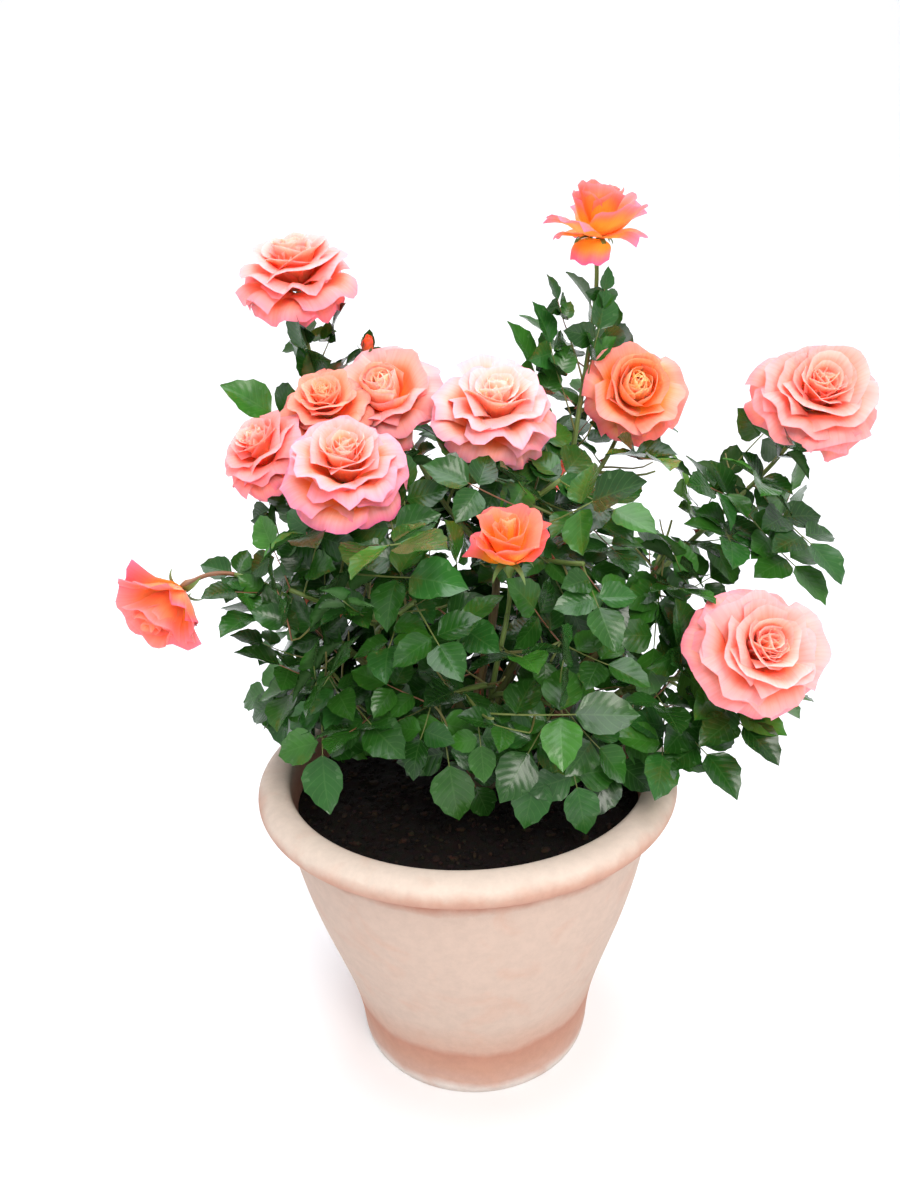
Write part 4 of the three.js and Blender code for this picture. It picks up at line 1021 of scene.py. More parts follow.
# %% Hips and sepals
SEPALS, SEPAL_LENGTH = 5, {"open": 27, "half": 25, "bud": 19}
SEPAL_ANGLES = {"open": (70, 160), "half": (60, 175), "bud": (20, 20)}
STALK_RADIUS, CALYX, HIP_SWELL = 2.3, 1.3, {"open": 2.6, "half": 3.0, "bud": 1.6}  # mm


def sepals(form, dice):
    """Five narrow shells about the axis: the width swells early and runs out to a thin tip."""
    v = np.linspace(0, 1, 9)[None, :, None]
    u = np.linspace(-1, 1, 5)[None, None, :]
    length = SEPAL_LENGTH[form] * dice.uniform(0.85, 1.2, (SEPALS, 1, 1))
    start, end = SEPAL_ANGLES[form]
    bend = np.radians(end - start + 14 * dice.normal(size=(SEPALS, 1, 1)))
    out, up = arc(length, math.radians(start), bend, v)
    half = 4.2 * np.clip(v * 6 + 0.5, 0, 1) * (1 - v) ** 0.8 + 0.25
    at = np.stack(np.broadcast_arrays(4.6 + out, u * half, up + 0.15 * half * u ** 2), axis=-1)
    turn = (np.arange(SEPALS) * 2 * np.pi / SEPALS + 0.2 * dice.normal(size=SEPALS))[:, None, None]
    front = spun(at, turn)
    spread = np.stack(np.broadcast_arrays(u + 0 * turn, v / 3 + 0 * turn), axis=-1)
    return shells(front, front - THICKNESS * UP, spread, tinted("#7fa05a", front), tinted("#5d8442", front))


def stalk(line, form, bend, colour, seed):
    """A stalk that widens to its hip, a bell curve in radius, and to the calyx. The bend grows with the cube
    of the share along it."""
    share = np.linspace(0, 1, 18)
    radii = STALK_RADIUS + HIP_SWELL[form] * np.exp(-((share - 0.9) / 0.075) ** 2)
    radii += CALYX * np.clip((share - 0.93) / 0.07, 0, 1)
    return tube(line.at(share) + bend * share[:, None] ** 3, radii, colour, 10, 0.01, seed)


print("sepals to a bloom:", SEPALS)

# %% [markdown]
# The finished blooms follow the photograph more closely than their solids: some are a little smaller,
# some look another way, and some stalks bend more. Four of them are more closed. Two have a heart that is
# still a round ball, and two are cups of upright petals.

# %% Blooms in their places
FINISHED_FORMS = {"right": "round", "mid_left": "round", "front": "cup", "far_left": "cup"}
FINISHED_SIZES = {"front_left": 0.92, "low_right": 0.9, "far_right": 0.92, "centre": 0.93, "right": 0.97,
                  "upper_left": 0.9, "top_left": 0.94, "top_right": 0.96, "far_left": 1.02}
FINISHED_FACES = {"top_left": (-0.05, -0.36, 0.93), "far_left": (-0.42, -0.74, -0.44), "centre": (0.1, -0.5, 0.86),
                  "front_left": (0.05, -0.52, 0.85), "left": (-0.4, -0.45, 0.8), "front": (0.0, -0.36, 0.93)}
FINISHED_SHIFTS = {"top_left": (0, 0, 21), "top_right": (-4, 0, 24), "mid_left": (-12, 0, 8), "centre": (0, 0, 6),
                   "far_right": (0, 0, 6), "left": (8, 0, 8), "front": (-3, 0, 8), "far_left": (-6, 0, -12),
                   "low_right": (5, 0, 8)}  # mm
STALK_COLOURS = {"far_left": "#9a6b4a"}

petal_faces = 0
for index, (name, shoot) in enumerate(SHOOTS.items()):
    if name not in BLOOMS:
        continue
    bloom, dice = shoot["bloom"], np.random.default_rng(100 + index)
    way = unit(np.array(FINISHED_FACES.get(name, faces_of(bloom)), float))
    shift = np.array(FINISHED_SHIFTS.get(name, (0, 0, 0)), float)
    radius = bloom["across"] / 2 * FINISHED_SIZES.get(name, 1)
    head = petals(FINISHED_FORMS.get(name, bloom["form"]), radius, {**SALMON, **COLOURS.get(name, {})}, dice)
    leafy = sepals(bloom["form"], dice)
    for part in (head, leafy):
        part["at"] = shoot_end(shoot) + shift + turn_to(part["at"], way)
    cane_name = CANE_OF[name]
    line = shoots[cane_name][name].stretch(stalk_share(cane_name, name) - 0.004, 1)
    stem = stalk(line, bloom["form"], shift, STALK_COLOURS.get(name, "#86a04e"), index)
    make_piece(f"petals_{name}", head, petal_skin, "petal", f"bloom_{name}")
    make_piece(f"stalk_{name}", join([stem, leafy]), bark, "leaf", f"bloom_{name}")
    petal_faces += len(head["faces"])
print("petal faces:", petal_faces)

# %% [markdown]
# ## The rule for leaves
# A rose leaf is a thin stalk with five leaflets: three at its end and a pair lower down. Leaves stand
# round a stem, each turned on from the last by 137.5 degrees, and look up and outwards. The solids were
# grown by this rule with seeded numbers. The same numbers are drawn again here, so every fine leaf falls
# in the place of its solid. A leaf that found no room was tried again with another heading. Which try
# was kept is read from the solid itself: it has a corner where the tip of that leaf lies.

# %% The same seeded numbers
LEAFLET_LENGTH, LEAFLET_WIDTH, LEAFLET_HANG, RACHIS_LENGTH = 70, 54, 9, 66
TRIO = ((-84, 4, 0.84), (0, 14, 1.0), (84, 4, 0.84))  # turn in degrees, mm from the stalk's end, size
PAIR_TURN, PAIR_SHARE, PAIR_PLACE = 74, 0.78, 0.45  # the lower pair's turn, size and place on the stalk
RACHIS_START, PAIR_BACK = 0.8, 0.84  # mm
OUTER_SIZE = 0.78  # of leaves that grow outside the crown's outline
LEAF_TURN, NEXT_TRY, LEAF_TRIES = GOLDEN_ANGLE, math.radians(63), 16
TWIG_LENGTH, TWIG_LEAVES, TWIG_RADIUS = 75, 2, 1.95
CORNER_NEAR, RING_NEAR = 0.12, 0.06  # mm, how near a kept leaf's or twig's corner lies
CROWN_CENTRE, CROWN_RADII = np.array([5, 25, 530]) - FOOT, np.array([236, 210, 190])


class SolidDice:
    """The numbers that the solids drew: each is the last times 1664525, plus 1013904223, cut to 32 bits."""

    def __init__(self, seed):
        self.state = seed

    def __call__(self, low, high):
        self.state = (self.state * 1664525 + 1013904223) % 2 ** 32
        return low + (high - low) * self.state / 2 ** 32


def turned_about(vector, axis, angle):
    """Rodrigues' rule: v cos a + (axis x v) sin a + axis (axis . v) (1 - cos a)."""
    swing = np.cross(axis, vector) * math.sin(angle)
    return vector * math.cos(angle) + swing + axis * (axis @ vector) * (1 - math.cos(angle))


def facing(direction, upper):
    """Three axes as rows: a direction, the left of it, and the upper side made square to it."""
    z = unit(upper - direction * (upper @ direction))
    return np.array([direction, np.cross(z, direction), z])


def upper_side(point, sway):
    """Leaves look up, a little outwards, and a little to the front."""
    out = 0.5 * unit(np.array([point[0], point[1], 0.0]))
    return unit(out + UP + [sway[0], sway[1] - 0.3, 0])


def depth_in_crown(points):
    """How far out in the crown points lie: 0 at its middle and 1 on its outline. In shares of the crown's
    radii, it is x squared plus y squared plus z to the power 6, which makes a drum with rounded edges."""
    share = np.abs((points - CROWN_CENTRE) / CROWN_RADII)
    return share[..., 0] ** 2 + share[..., 1] ** 2 + share[..., 2] ** 6


def leaf_direction(along, turn, is_last=False):
    """The last leaf goes straight on. The others point to the side, forwards a little and up a little."""
    if is_last:
        return along
    side = turned_about(unit(np.cross([1, 0, 0], along)), along, turn)
    return unit(side + 0.45 * along + 0.2 * UP)


def leaf_at(at, direction, drawn):
    """The stalk of a leaf, and for each leaflet its base, its axes, its length and its hang."""
    size, hang = drawn["size"], LEAFLET_HANG * drawn["hang"]
    hub = at + direction * RACHIS_LENGTH * size * drawn["reach"]
    axes = facing(direction, upper_side(hub, drawn["sways"][0]))
    leaflets = []
    for turn, offset, share in TRIO:
        points = turned_about(direction, axes[2], math.radians(turn))
        leaflets.append((hub + points * offset * size, facing(points, axes[2]), size * share, hang))
    start = at + RACHIS_START * direction
    joint = start + PAIR_PLACE * (hub - at - RACHIS_START * direction)
    for side, sway in ((1, drawn["sways"][1]), (-1, drawn["sways"][2])):
        upper = upper_side(joint, sway)
        points = turned_about(direction, upper, math.radians(side * PAIR_TURN))
        leaflets.append((joint - points * PAIR_BACK, facing(points, upper), size * PAIR_SHARE, hang))
    return {"at": at, "hub": hub, "axes": axes, "size": size, "leaflets": leaflets}


def tip_of(leaflet):
    """Where a leaflet ends: its length along the first of its axes, and its hang against the third."""
    base, axes, share, hang = leaflet
    return base + axes[0] * LEAFLET_LENGTH * share - axes[2] * hang * share


print("leaflets of a leaf:", len(TRIO) + 2)

# %% [markdown]
# Now the rule is run cane by cane. Each cane's mass has seeded numbers of its own, drawn in the order in
# which its solid drew them: the stem's leaves from its tip down, then its side twigs with two leaves each.

# %% Leaves and twigs of the solids
def corners_of(node):
    """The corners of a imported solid, ready for finding the nearest to a place."""
    corners = frame["nodes"][node].data.vertices
    tree = KDTree(len(corners))
    for corner in corners:
        tree.insert(Vector(np.array(corner.co) * 1000 - FOOT), corner.index)
    tree.balance()
    return tree


def leaves_on(line, count, solid, draw):
    """The leaves of a line, from its tip down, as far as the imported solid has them."""
    grown, turned = [], draw(0, 2 * math.pi)
    for i in range(count):
        place = 0.99 - 0.75 * i / count
        at, along = line.at(place), line.along(place)
        outer = OUTER_SIZE if depth_in_crown(at) > 1 else 1
        tries = [{"size": outer * draw(0.9, 1.12) * (1 - 0.4 * attempt / LEAF_TRIES), "reach": draw(0.85, 1.15),
                  "hang": draw(0.6, 1.6), "sways": [(draw(-0.35, 0.35), draw(-0.35, 0.35)) for _ in range(3)]}
                 for attempt in range(LEAF_TRIES)]
        for attempt, drawn in enumerate(tries):
            turn = turned + i * LEAF_TURN + attempt * NEXT_TRY
            leaf = leaf_at(at, leaf_direction(along, turn, attempt == 0 and i == 0), drawn)
            in_solid = [solid.find(tip_of(leaflet))[2] < CORNER_NEAR for leaflet in leaf["leaflets"]]
            if in_solid[1]:
                lower = [leaf["leaflets"][pair] for pair in (3, 4) if in_solid[pair]]
                grown.append({**leaf, "leaflets": leaf["leaflets"][:3] + lower})
                break
    return grown


def twigs_on(line, count, solid, draw):
    """The side twigs of a stem with their leaves. A kept twig has a ring of corners about its middle."""
    grown = []
    for i in range(count):
        place = 0.25 + 0.55 * (i + 0.5) / count
        at, along = line.at(place), line.along(place)
        tries = [(leaf_direction(along, i * LEAF_TURN + attempt * NEXT_TRY + draw(1, 1.8)),
                  TWIG_LENGTH * draw(0.8, 1.25)) for attempt in range(LEAF_TRIES)]
        for heading, length in tries:
            twig = Line(at, heading, at + heading * length, unit(0.7 * heading + 0.3 * UP))
            near = [distance for _, _, distance in solid.find_n(twig.at(0.5), 3)]
            if sum(abs(distance - TWIG_RADIUS) < RING_NEAR for distance in near) >= 2:
                grown.append((twig, leaves_on(twig, TWIG_LEAVES, solid, draw)))
                break
    return grown


masses = {}
for index, cane_name in enumerate(CANES):
    draw, solid = SolidDice(13 + 7 * index), corners_of(f"foliage_{cane_name}")
    mass = {"leaves": [], "twigs": []}
    for name, shoot in CANES[cane_name]["shoots"].items():
        stem = stems[cane_name][name]
        mass["leaves"] += leaves_on(stem, shoot["leaves"] - shoot["twigs"] * TWIG_LEAVES, solid, draw)
        for twig, leaves in twigs_on(stem, shoot["twigs"], solid, draw):
            mass["twigs"].append(twig)
            mass["leaves"] += leaves
    masses[cane_name] = mass
    print(cane_name, "leaves:", len(mass["leaves"]), "twigs:", len(mass["twigs"]),
          "leaflets:", sum(len(leaf["leaflets"]) for leaf in mass["leaves"]))

# %% [markdown]
# ## Finer growth
# The solids show only the large leaves. Here the same rule is carried on: every stem and twig also bears
# fine twigs and smaller leaves between the large ones, inside the same space. A new leaf must lie in its
# own mass's space, must not stand in front of a bloom, and each of its leaflets must have air about it.
# Only so many are added that the dark gaps of the photograph stay open.

# %% Room for more leaves
BLOOM_MARGIN, BLOOM_FRONT, BLOOM_BACK = 8, 110, 0.25  # mm, mm, and a share of the bloom's radius
STRAY, OVERLAP = 70, 20  # mm from its own stems outside the crown, and mm that others may be nearer
BLOOMS_SHOWN = [(in_bush(bloom["at"]), faces_of(bloom), bloom["across"] / 2 + BLOOM_MARGIN)
                for bloom in BLOOMS.values()]
stem_samples = {cane_name: np.concatenate([line.at(np.linspace(0, 1, 13)) for line in lines.values()])
                for cane_name, lines in shoots.items()}


def nearest(points, others):
    """For each point, the distance to the nearest of the others."""
    return np.sqrt(((points[:, None] - others[None]) ** 2).sum(axis=2).min(axis=1))


def in_own_space(cane_name, points):
    """Nearer to the mass's own stems than to any others, and inside the crown or near the stem."""
    own = nearest(points, stem_samples[cane_name])
    if np.any((depth_in_crown(points) > 1) & (own > STRAY)):
        return False
    others = np.concatenate([samples for other, samples in stem_samples.items() if other != cane_name])
    return bool(np.all(nearest(points, others) > own - OVERLAP))


def hides_bloom(points):
    """Whether a point lies in the short cylinder that stands before a bloom, square to it."""
    for centre, faces, radius in BLOOMS_SHOWN:
        ahead = (points - centre) @ faces
        aside = np.linalg.norm(points - centre - ahead[:, None] * faces, axis=1)
        if np.any((ahead > -BLOOM_BACK * radius) & (ahead < BLOOM_FRONT) & (aside < radius)):
            return True
    return False


def samples_of(leaf):
    """Seven places on each leaflet: along the middle and out to the sides."""
    places = np.array([(0.12, 0), (0.5, 0), (0.95, 0), (0.35, 0.4), (0.35, -0.4), (0.7, 0.3), (0.7, -0.3)])
    found = []
    for base, axes, share, hang in leaf["leaflets"]:
        along, aside = places[:, 0] * LEAFLET_LENGTH * share, places[:, 1] * LEAFLET_WIDTH * share
        found.append(base + along[:, None] * axes[0] + aside[:, None] * axes[1]
                     - (places[:, :1] ** 2 * hang * share) * axes[2])
    return np.concatenate(found)


taken = np.concatenate([samples_of(leaf) for mass in masses.values() for leaf in mass["leaves"]])
print("places taken:", len(taken))

# %% [markdown]
# Before the rule is carried on, some leaves are placed one by one. The first table holds leaves that the
# photograph shows: for each stem, the share of its length where the leaf grows, the middle of the leaf
# in millimetres, and its size. The second table holds the middles and sizes of leaves that fill the
# places low round the pot and deep in the crown that the solids leave thin. The third holds the middles
# and radii of the gaps through which the photograph shows sky.

# %% Leaves to place and gaps to keep
SEEN_LEAVES = {
    "skirt_front": [(0.85, -18, -125, 421, 0.92), (0.95, 5, -118, 385, 0.55)],
    "skirt_middle": [(0.9, 66, -128, 430, 0.88), (0.85, 70, -124, 404, 0.86), (0.95, 104, -128, 392, 0.8)],
    "skirt_right": [(0.4, 150, -92, 386, 0.86), (0.8, 196, -96, 404, 0.82), (0.95, 232, -96, 402, 0.84)],
    "low_right": [(0.6, 262, -86, 440, 0.8), (0.8, 264, -100, 433, 0.8), (0.7, 220, -60, 488, 0.84)],
    "skirt_left": [(0.85, -143, -90, 418, 0.95), (0.6, -97, -105, 452, 0.9)],
    "far_left": [(0.7, -216, -40, 562, 0.55), (0.6, -198, -45, 542, 0.8)],
    "far_right": [(0.7, 336, -10, 566, 0.8), (0.8, 348, -14, 590, 0.84), (0.93, 327, 0, 675, 0.6),
                  (0.85, 304, -8, 646, 0.7), (0.72, 262, 4, 637, 0.74), (0.62, 275, -6, 591, 0.78)],
    "inner_right": [(0.8, 196, -44, 500, 0.9), (0.6, 204, -20, 540, 0.86)],
    "top_left": [(0.45, -180, 64, 714, 0.94), (0.72, -150, 88, 776, 0.66), (0.88, -155, 104, 801, 0.42),
                 (0.92, -124, 104, 802, 0.42)],
    "bud": [(0.55, -87, 118, 772, 0.34)],
    "top_right": [(0.42, 107, 88, 771, 0.66), (0.3, 88, 84, 752, 0.7), (0.5, 154, 92, 783, 0.62),
                  (0.66, 115, 94, 817, 0.4), (0.72, 160, 94, 825, 0.34)],
    "right": [(0.8, 196, 22, 668, 0.8)],
    "inner_left": [(0.85, -134, -55, 621, 0.8)],
    "inner_front": [(0.8, -61, -70, 630, 0.86)],
    "inner_centre": [(0.75, 43, 0, 658, 0.86), (0.9, 106, 10, 654, 0.84)],
}
FILL_LEAVES = [
    (-151, 50, 432, 0.8), (-129, 70, 450, 0.8), (-170, 30, 417, 0.8), (-210, 10, 430, 0.74),
    (-41, 70, 481, 0.8), (-16, 70, 379, 0.8), (-49, 60, 428, 0.8), (62, 70, 469, 0.8), (171, 60, 447, 0.8),
    (207, 50, 478, 0.76), (-183, 60, 468, 0.8), (-92, 70, 384, 0.8), (-77, 60, 388, 0.8), (-141, 20, 376, 0.8),
    (113, 70, 389, 0.8), (-91, 80, 506, 0.8), (-173, 20, 558, 0.72), (-226, -10, 570, 0.5),
    (-120, 112, 428, 0.86), (-168, 118, 408, 0.84), (-176, 160, 432, 0.82), (-112, 168, 402, 0.84),
    (-70, 138, 442, 0.82), (-40, 150, 398, 0.84), (-12, 186, 430, 0.82), (24, 140, 420, 0.86),
    (36, 196, 402, 0.82), (66, 172, 440, 0.84), (112, 122, 430, 0.86), (150, 150, 404, 0.84),
    (192, 122, 424, 0.82), (108, 168, 444, 0.82), (188, 84, 402, 0.8), (-190, 60, 420, 0.8),
    (-178, 10, 404, 0.8), (-190, -30, 436, 0.78), (196, 20, 420, 0.8), (210, -24, 436, 0.78),
    (-140, 60, 452, 0.84), (150, 70, 456, 0.84), (0, 100, 450, 0.84), (-60, 90, 470, 0.84), (70, 95, 470, 0.84),
    (60, 120, 396, 0.8), (-90, 110, 398, 0.8), (-60, 120, 520, 0.84), (0, 130, 500, 0.86), (60, 120, 520, 0.86),
    (120, 110, 510, 0.86), (-120, 110, 520, 0.82), (-20, 110, 560, 0.82), (40, 120, 570, 0.84),
    (100, 100, 570, 0.84), (150, 90, 540, 0.8), (-90, 110, 580, 0.82), (0, 90, 610, 0.8), (70, 90, 616, 0.8),
    (-160, 90, 500, 0.8), (170, 60, 500, 0.8), (20, 150, 530, 0.84), (-50, 150, 480, 0.84),
    (90, 150, 480, 0.84), (130, 130, 468, 0.8),
]
SKY = [
    ((191, 10, 663), (42, 120, 46)), ((203, 10, 627), (46, 110, 34)), ((270, 10, 647), (34, 100, 30)),
    ((-262, -45, 606), (50, 70, 24)), ((-262, -50, 520), (60, 70, 26)), ((120, 60, 830), (60, 60, 40)),
    ((195, -16, 602), (22, 40, 22)), ((294, 20, 683), (25, 40, 25)), ((-224, 38, 626), (25, 40, 25)),
    ((107, 93, 808), (22, 40, 22)), ((-263, 0, 585), (25, 40, 25)),
]
print("leaves seen:", sum(map(len, SEEN_LEAVES.values())), "fillers:", len(FILL_LEAVES), "gaps:", len(SKY))

# %% [markdown]
# Leaves of the solids that fall in a gap are left out. A leaf that fills a thin place grows from whichever
# stem comes nearest. Where a leaf is too far from its stem for its own stalk, it gets a fine twig.

# %% Leaves placed one by one
STEM_CLEAR, TWIG_FROM = 25, 12  # mm clear of the stem, and mm beyond the reach of a leaf's stalk


def in_sky(point):
    """Inside one of the egg-shaped gaps where the photograph shows sky between the branches."""
    return any(np.sum(((point - in_bush(centre)) / np.array(radii)) ** 2) < 1 for centre, radii in SKY)


for cane_name, mass in masses.items():
    mass["fine_twigs"], mass["small_leaves"] = [], []
    shown = [leaf for leaf in mass["leaves"] if not in_sky(leaf["hub"])]
    print(cane_name, "leaves left out of the sky:", len(mass["leaves"]) - len(shown))
    mass["leaves"] = shown


def nearest_place(point):
    """Of all the stems, the place that comes nearest to the point but stays clear of it."""
    places = np.linspace(0.2, 0.95, 16)
    found = []
    for name in SHOOTS:
        away = np.linalg.norm(stems[CANE_OF[name]][name].at(places) - point, axis=1)
        away[away < STEM_CLEAR] = np.inf
        found.append((away.min(), CANE_OF[name], name, places[away.argmin()]))
    return min(found)[1:]


wanted = [(CANE_OF[name], name, place, hub, size)
          for name, rows in SEEN_LEAVES.items() for place, *hub, size in rows]
wanted += [(*nearest_place(in_bush(hub)), hub, size) for *hub, size in FILL_LEAVES]
for cane_name, name, place, hub, size in wanted:
    at, goal = stems[cane_name][name].at(place), in_bush(hub)
    heading, reach = unit(goal - at), RACHIS_LENGTH * size
    start = goal - heading * reach
    if np.linalg.norm(goal - at) > reach + TWIG_FROM:
        twig = Line(at, unit(heading + 0.5 * UP), start, unit(heading - 0.1 * UP))
        masses[cane_name]["fine_twigs"].append(twig)
    else:
        start, reach = at, np.linalg.norm(goal - at)
    drawn = {"size": size, "reach": reach / RACHIS_LENGTH / size, "hang": 1.2, "sways": [(0, -0.5)] * 3}
    leaf = leaf_at(start, heading, drawn)
    masses[cane_name]["small_leaves"].append({**leaf, "seen": True})
    taken = np.concatenate([taken, samples_of(leaf)])
print("leaves placed one by one:", len(wanted))

# %% [markdown]
# The rule goes on with random numbers of its own. Fine twigs stand some 48 mm apart on the stems. Then
# every line is walked from its tip down, and a dozen headings are tried for each leaf. Where all five
# leaflets have no room, the upper three are tried alone. A leaf in the crown's very heart is left out.

# %% Fine twigs and small leaves
TWIG_SPACING, ON_STEM, ON_TWIG, ON_FINE_TWIG = 48, 30, 24, 20  # mm between fine twigs, and between leaves
TWIG_REACH, AIR, TWIG_AIR = (38, 66), 8, 9  # mm long, and mm of air about a leaf and about a twig
TWIG_TRIES, LEAFY_TRIES, SMALL_SIZE = 8, 12, (0.5, 0.86)
HEART = 0.05  # no leaf grows where the depth in the crown is less
dice = np.random.default_rng(21)


def any_leaf():
    """The random numbers of one small leaf."""
    return {"size": dice.uniform(*SMALL_SIZE), "reach": dice.uniform(0.75, 1.1),
            "hang": dice.uniform(0.5, 1.8), "sways": dice.uniform(-0.5, 0.5, (3, 2))}


def has_room(cane_name, points, tested, air):
    """Whether the points have air about them and hide no bloom, and the tested ones lie in the mass's space."""
    return nearest(points, taken).min() > air and in_own_space(cane_name, tested) and not hides_bloom(points)


def fine_twig(cane_name, line, place):
    """A fine twig that found room at a place of a stem, or nothing."""
    at, along = line.at(place), line.along(place)
    for _ in range(TWIG_TRIES):
        heading = leaf_direction(along, dice.uniform(0, 2 * math.pi))
        twig = Line(at, heading, at + heading * dice.uniform(*TWIG_REACH), unit(0.6 * heading + 0.4 * UP))
        points = twig.at([0.5, 1.0])
        if has_room(cane_name, points, points, TWIG_AIR):
            return [twig]
    return []


def small_leaf(cane_name, line, place, is_last):
    """A small leaf that found room at a place of a line, with the places that it takes, or nothing."""
    at, along = line.at(place), line.along(place)
    for attempt in range(LEAFY_TRIES):
        heading = leaf_direction(along, dice.uniform(0, 2 * math.pi), is_last and attempt == 0)
        leaf = leaf_at(at, heading, any_leaf())
        if depth_in_crown(leaf["hub"]) < HEART or in_sky(leaf["hub"]):
            continue
        for leaflets in (leaf["leaflets"], leaf["leaflets"][:3]):
            trial = {**leaf, "leaflets": leaflets}
            points = samples_of(trial)
            if has_room(cane_name, points, points[::3], AIR):
                return trial, points
    return None, None


for cane_name, mass in masses.items():
    stem_lines, fine = list(stems[cane_name].values()), []
    for line in stem_lines:
        for place in np.arange(0.12, 0.9, TWIG_SPACING / line.length):
            fine += fine_twig(cane_name, line, place)
    mass["fine_twigs"] += fine
    lines = [(twig, ON_FINE_TWIG) for twig in fine] + [(stem, ON_STEM) for stem in stem_lines]
    for line, spacing in lines + [(twig, ON_TWIG) for twig in mass["twigs"]]:
        is_twig = spacing < ON_STEM
        for number, place in enumerate(np.arange(0.99 if is_twig else 0.95, 0.15, -spacing / line.length)):
            leaf, points = small_leaf(cane_name, line, place, is_twig and number == 0)
            if leaf:
                mass["small_leaves"].append(leaf)
                taken = np.concatenate([taken, points])
    print(cane_name, "fine twigs:", len(mass["fine_twigs"]), "small leaves:", len(mass["small_leaves"]))

# %% [markdown]
# A leaflet is an egg-shaped blade with a short point and a saw-toothed margin. It is folded up a little
# along its midrib, it hangs towards the tip, and its sides ripple. All the leaflets of a mass are worked
# out in one array. Each has its own green: most are dark, the newest on the outside are lime.

# %% Leaflets
LEAF_ROWS, LEAF_COLUMNS = 10, 5
LARGE_SHARE, LARGE_SIZE = 0.7, 0.87  # leaflets above the first size are made smaller by the second
GREENS = ("#1f4c14", "#265618", "#30641e", "#1b4312", "#376f20", "#295c22")
LIMES = ("#6c9b2f", "#5a8c2d", "#78a63a")


def leaf_greens(lime, like, dice):
    """Colours above and below: one of the greens mixed with one of the limes, each a little lighter or darker."""
    count = len(lime)
    pick = lambda colours: np.array([linear(c) for c in colours])[dice.integers(0, len(colours), count)]
    green = pick(GREENS)[:, None, None] * (1 - lime[..., None]) + pick(LIMES)[:, None, None] * lime[..., None]
    green = green * (1 + 0.12 * dice.normal(size=(count, 1, 1, 1))).clip(0.7, 1.4) + 0 * like
    return green, 0.55 * green + 0.45 * linear("#6b8f5e")


def leaflet_blades(leaves, dice):
    """Half-width is v to the 0.6 times (1 - v), at its widest at v = 0.375. Every other row of the
    margin is a tooth, out a little and on towards the tip."""
    rows = [(*leaflet, leaf["lime"]) for leaf in leaves for leaflet in leaf["leaflets"]]
    base, axes, share, hang, lime = (np.array(column, float)[:, None, None] for column in zip(*rows))
    x, y, z = (axes[..., axis, :] for axis in range(3))
    share = share * np.where(share > LARGE_SHARE, LARGE_SIZE, 1)
    any_one = lambda low, high: dice.uniform(low, high, (len(rows), 1, 1))
    v = np.linspace(0, 1, LEAF_ROWS)[None, :, None]
    u = np.linspace(-1, 1, LEAF_COLUMNS)[None, None, :]
    tooth = (np.arange(LEAF_ROWS) % 2)[None, :, None] * (np.abs(u) == 1) * (v > 0.05) * (v < 0.97)
    profile = v ** 0.6 * (1 - v) / (0.375 ** 0.6 * 0.625)
    half = 0.5 * LEAFLET_WIDTH * 0.95 * share * (profile * (1 + 0.05 * tooth) + 0.012)
    along = LEAFLET_LENGTH * share * (v + 0.03 * tooth)
    fold = any_one(0.12, 0.42)
    ripple = np.sin(2 * np.pi * (any_one(1.5, 3) * v + any_one(0, 1) + 0.25 * u))
    lift = half * fold * np.abs(u) ** 1.3 - hang * share * v ** 2 + 1.3 * share * ripple * u ** 2
    bow = any_one(-0.07, 0.07) * LEAFLET_LENGTH * share * v ** 2
    front = base + along[..., None] * x + (u * half + bow)[..., None] * y + lift[..., None] * z
    spread = np.stack(np.broadcast_arrays(u + 0 * share, v), axis=-1)
    green, under = leaf_greens(lime, front, dice)
    return shells(front, front - THICKNESS * z, spread, green, under)


print("greens:", len(GREENS), "limes:", len(LIMES))

# %% [markdown]
# Leaves on the crown's outside are younger, so the share of lime grows from there inwards to nothing.
# Stems, twigs and the stalks of the leaves are thin tubes, each kind with its own radius and colour. All
# the leaves of a mass are one mesh, and all its twigs another.

# %% Leaves and limbs of each mass
def limb(line, radius, taper, colour, sides, count, seed):
    """A tube of count rings along a curve. Its radius falls evenly by the taper."""
    share = np.linspace(0, 1, count)
    return tube(line.at(share), radius - taper * share, colour, sides, 0.02, seed)


def leaf_stalk(leaf, dice, seed):
    """A tube from the stem to just inside the end leaflet, along a line that sags as a parabola."""
    share = np.linspace(0, 1, 5)[:, None]
    run = leaf["leaflets"][1][0] + leaf["axes"][0] * 1.5 - leaf["at"]
    sag = -4 * share * (1 - share) * 0.03 * RACHIS_LENGTH * leaf["size"] * leaf["axes"][2]
    radii = (1.15 - 0.5 * share[:, 0]) * leaf["size"] ** 0.5
    colour = "#7d8f48" if dice.random() < 0.7 else "#9a6a4c"
    return tube(leaf["at"] + run * share + sag, radii, colour, 5, 0.0, seed)


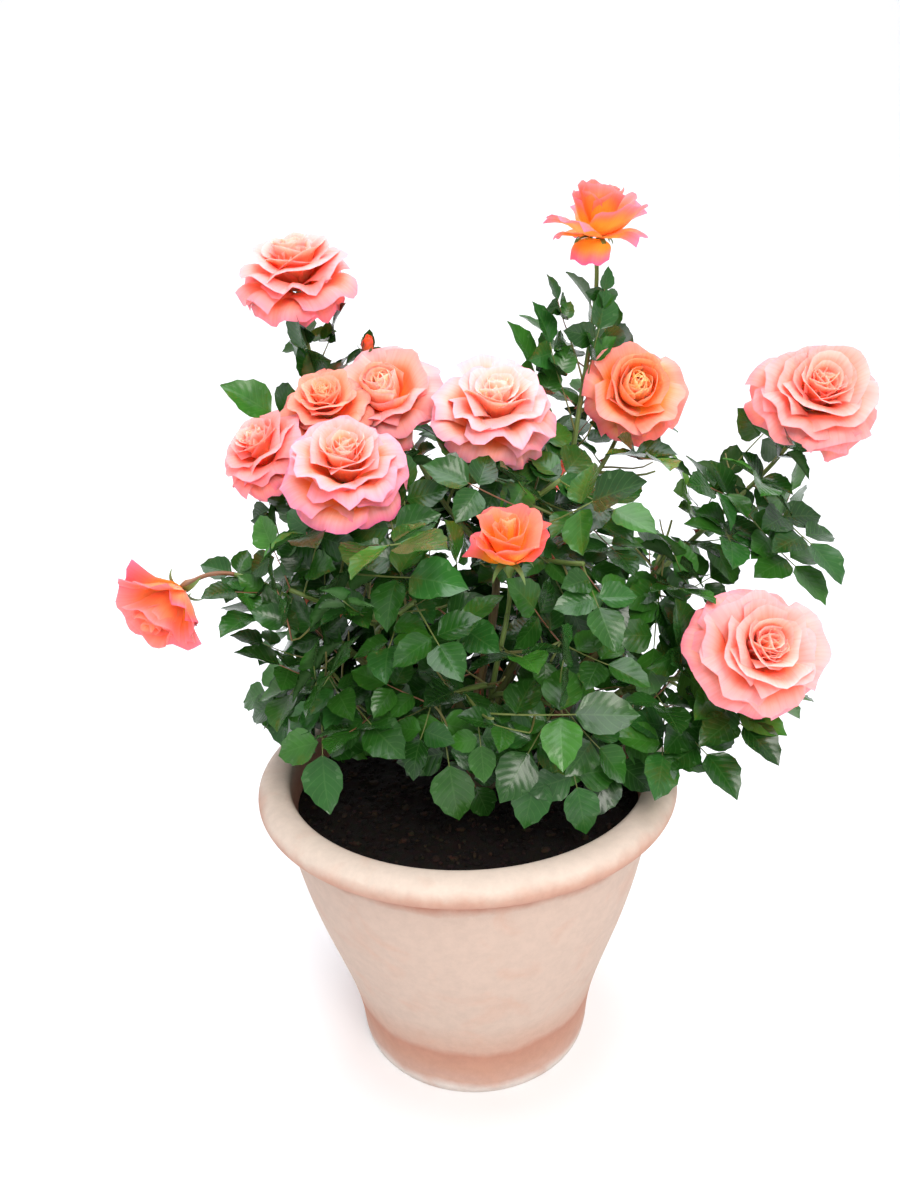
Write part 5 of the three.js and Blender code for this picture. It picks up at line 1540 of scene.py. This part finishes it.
for index, (cane_name, mass) in enumerate(masses.items()):
    dice = np.random.default_rng(300 + index)
    leaves = mass["leaves"] + mass["small_leaves"]
    for leaf in leaves:
        outside = float(np.clip((depth_in_crown(leaf["hub"]) - 0.45) * 1.2, 0, 1))
        leaf["lime"] = (dice.random() < 0.07) * outside * dice.uniform(0.4, 0.8) + 0.1 * outside * dice.random()
        leaf["lime"] *= not leaf.get("seen", False)
    make_piece(f"leaves_{cane_name}", leaflet_blades(leaves, dice), leaf_green, "leaf", f"foliage_{cane_name}")
    limbs = [limb(stem, 3.4, 1.0, "#77914a", 8, max(6, int(stem.length / 16)), index)
             for stem in stems[cane_name].values()]
    limbs += [limb(twig, 1.9, 0.7, "#7f8f4a", 7, 7, index) for twig in mass["twigs"]]
    limbs += [limb(twig, 1.3, 0.5, "#8b8a50", 6, 6, index) for twig in mass["fine_twigs"]]
    limbs += [leaf_stalk(leaf, dice, index) for leaf in leaves]
    make_piece(f"twigs_{cane_name}", join(limbs), bark, "leaf", f"foliage_{cane_name}")
blade_pieces = [piece for piece in bpy.data.objects if piece.name.startswith("leaves_")]
print("leaf faces:", sum(len(piece.data.polygons) for piece in blade_pieces))

# %% [markdown]
# ## Stage and light
# The photograph was taken before a white ground that runs up behind the plant. A wide sweep does the
# same: a flat floor whose far side curves up as a quarter of a circle. A broad soft light stands high
# at the front on the right, another hangs overhead, and the world around is nearly white.

# %% Floor and lights
FRONT_EDGE, BEND_START, BEND_RADIUS, WALL_TOP, HALF_WIDTH = -4, 3, 2.5, 6, 7  # m
level = np.linspace(FRONT_EDGE, BEND_START, 8)
climb = np.linspace(0, np.pi / 2, 17)[1:]
bend = np.stack([BEND_START + BEND_RADIUS * np.sin(climb), BEND_RADIUS - BEND_RADIUS * np.cos(climb)], axis=1)
sweep = np.concatenate([np.stack([level, 0 * level], axis=1), bend, [(BEND_START + BEND_RADIUS, WALL_TOP)]])
corners = [(x, depth, height) for depth, height in sweep for x in (-HALF_WIDTH, HALF_WIDTH)]
floor_mesh = bpy.data.meshes.new("sweep")
floor_mesh.from_pydata(corners, [], [(2 * i, 2 * i + 1, 2 * i + 3, 2 * i + 2) for i in range(len(sweep) - 1)])
floor_mesh.polygons.foreach_set("use_smooth", [True] * len(floor_mesh.polygons))
floor = bpy.data.objects.new("sweep", floor_mesh)
bpy.context.collection.objects.link(floor)
paper, tree, shader = new_material("white_paper_sweep")
shader.inputs["Base Color"].default_value = rgba("#fafafa")
shader.inputs["Roughness"].default_value = 0.95
floor_mesh.materials.append(paper)


def soft_light(name, at, looks_at, wide, tall, watts, colour):
    """A rectangular lamp that looks at a point."""
    lamp = bpy.data.lights.new(name, "AREA")
    lamp.shape, lamp.size, lamp.size_y = "RECTANGLE", wide, tall
    lamp.energy, lamp.color = watts, linear(colour)
    light = bpy.data.objects.new(name, lamp)
    light.location = at
    light.rotation_euler = (Vector(looks_at) - Vector(at)).to_track_quat("-Z", "Y").to_euler()
    bpy.context.collection.objects.link(light)


soft_light("key", (0.6, -2.0, 2.3), (0, 0, 0.45), 1.2, 1.2, 44, "#fffaf4")
soft_light("overhead", (0.1, 0.2, 3.0), (0, 0, 0), 2.6, 2.6, 78, "#f6f9ff")
soft_light("back_wall", (0, 2.0, 2.6), (0, 4.6, 1.2), 3.0, 1.0, 60, "#ffffff")
world = bpy.data.worlds.new("white_room")
bpy.context.scene.world = world
world.use_nodes = True
sky = world.node_tree.nodes["Background"]
sky.inputs["Color"].default_value, sky.inputs["Strength"].default_value = rgba("#f8f9ff"), 0.74
bpy.context.scene.view_settings.view_transform = "Standard"
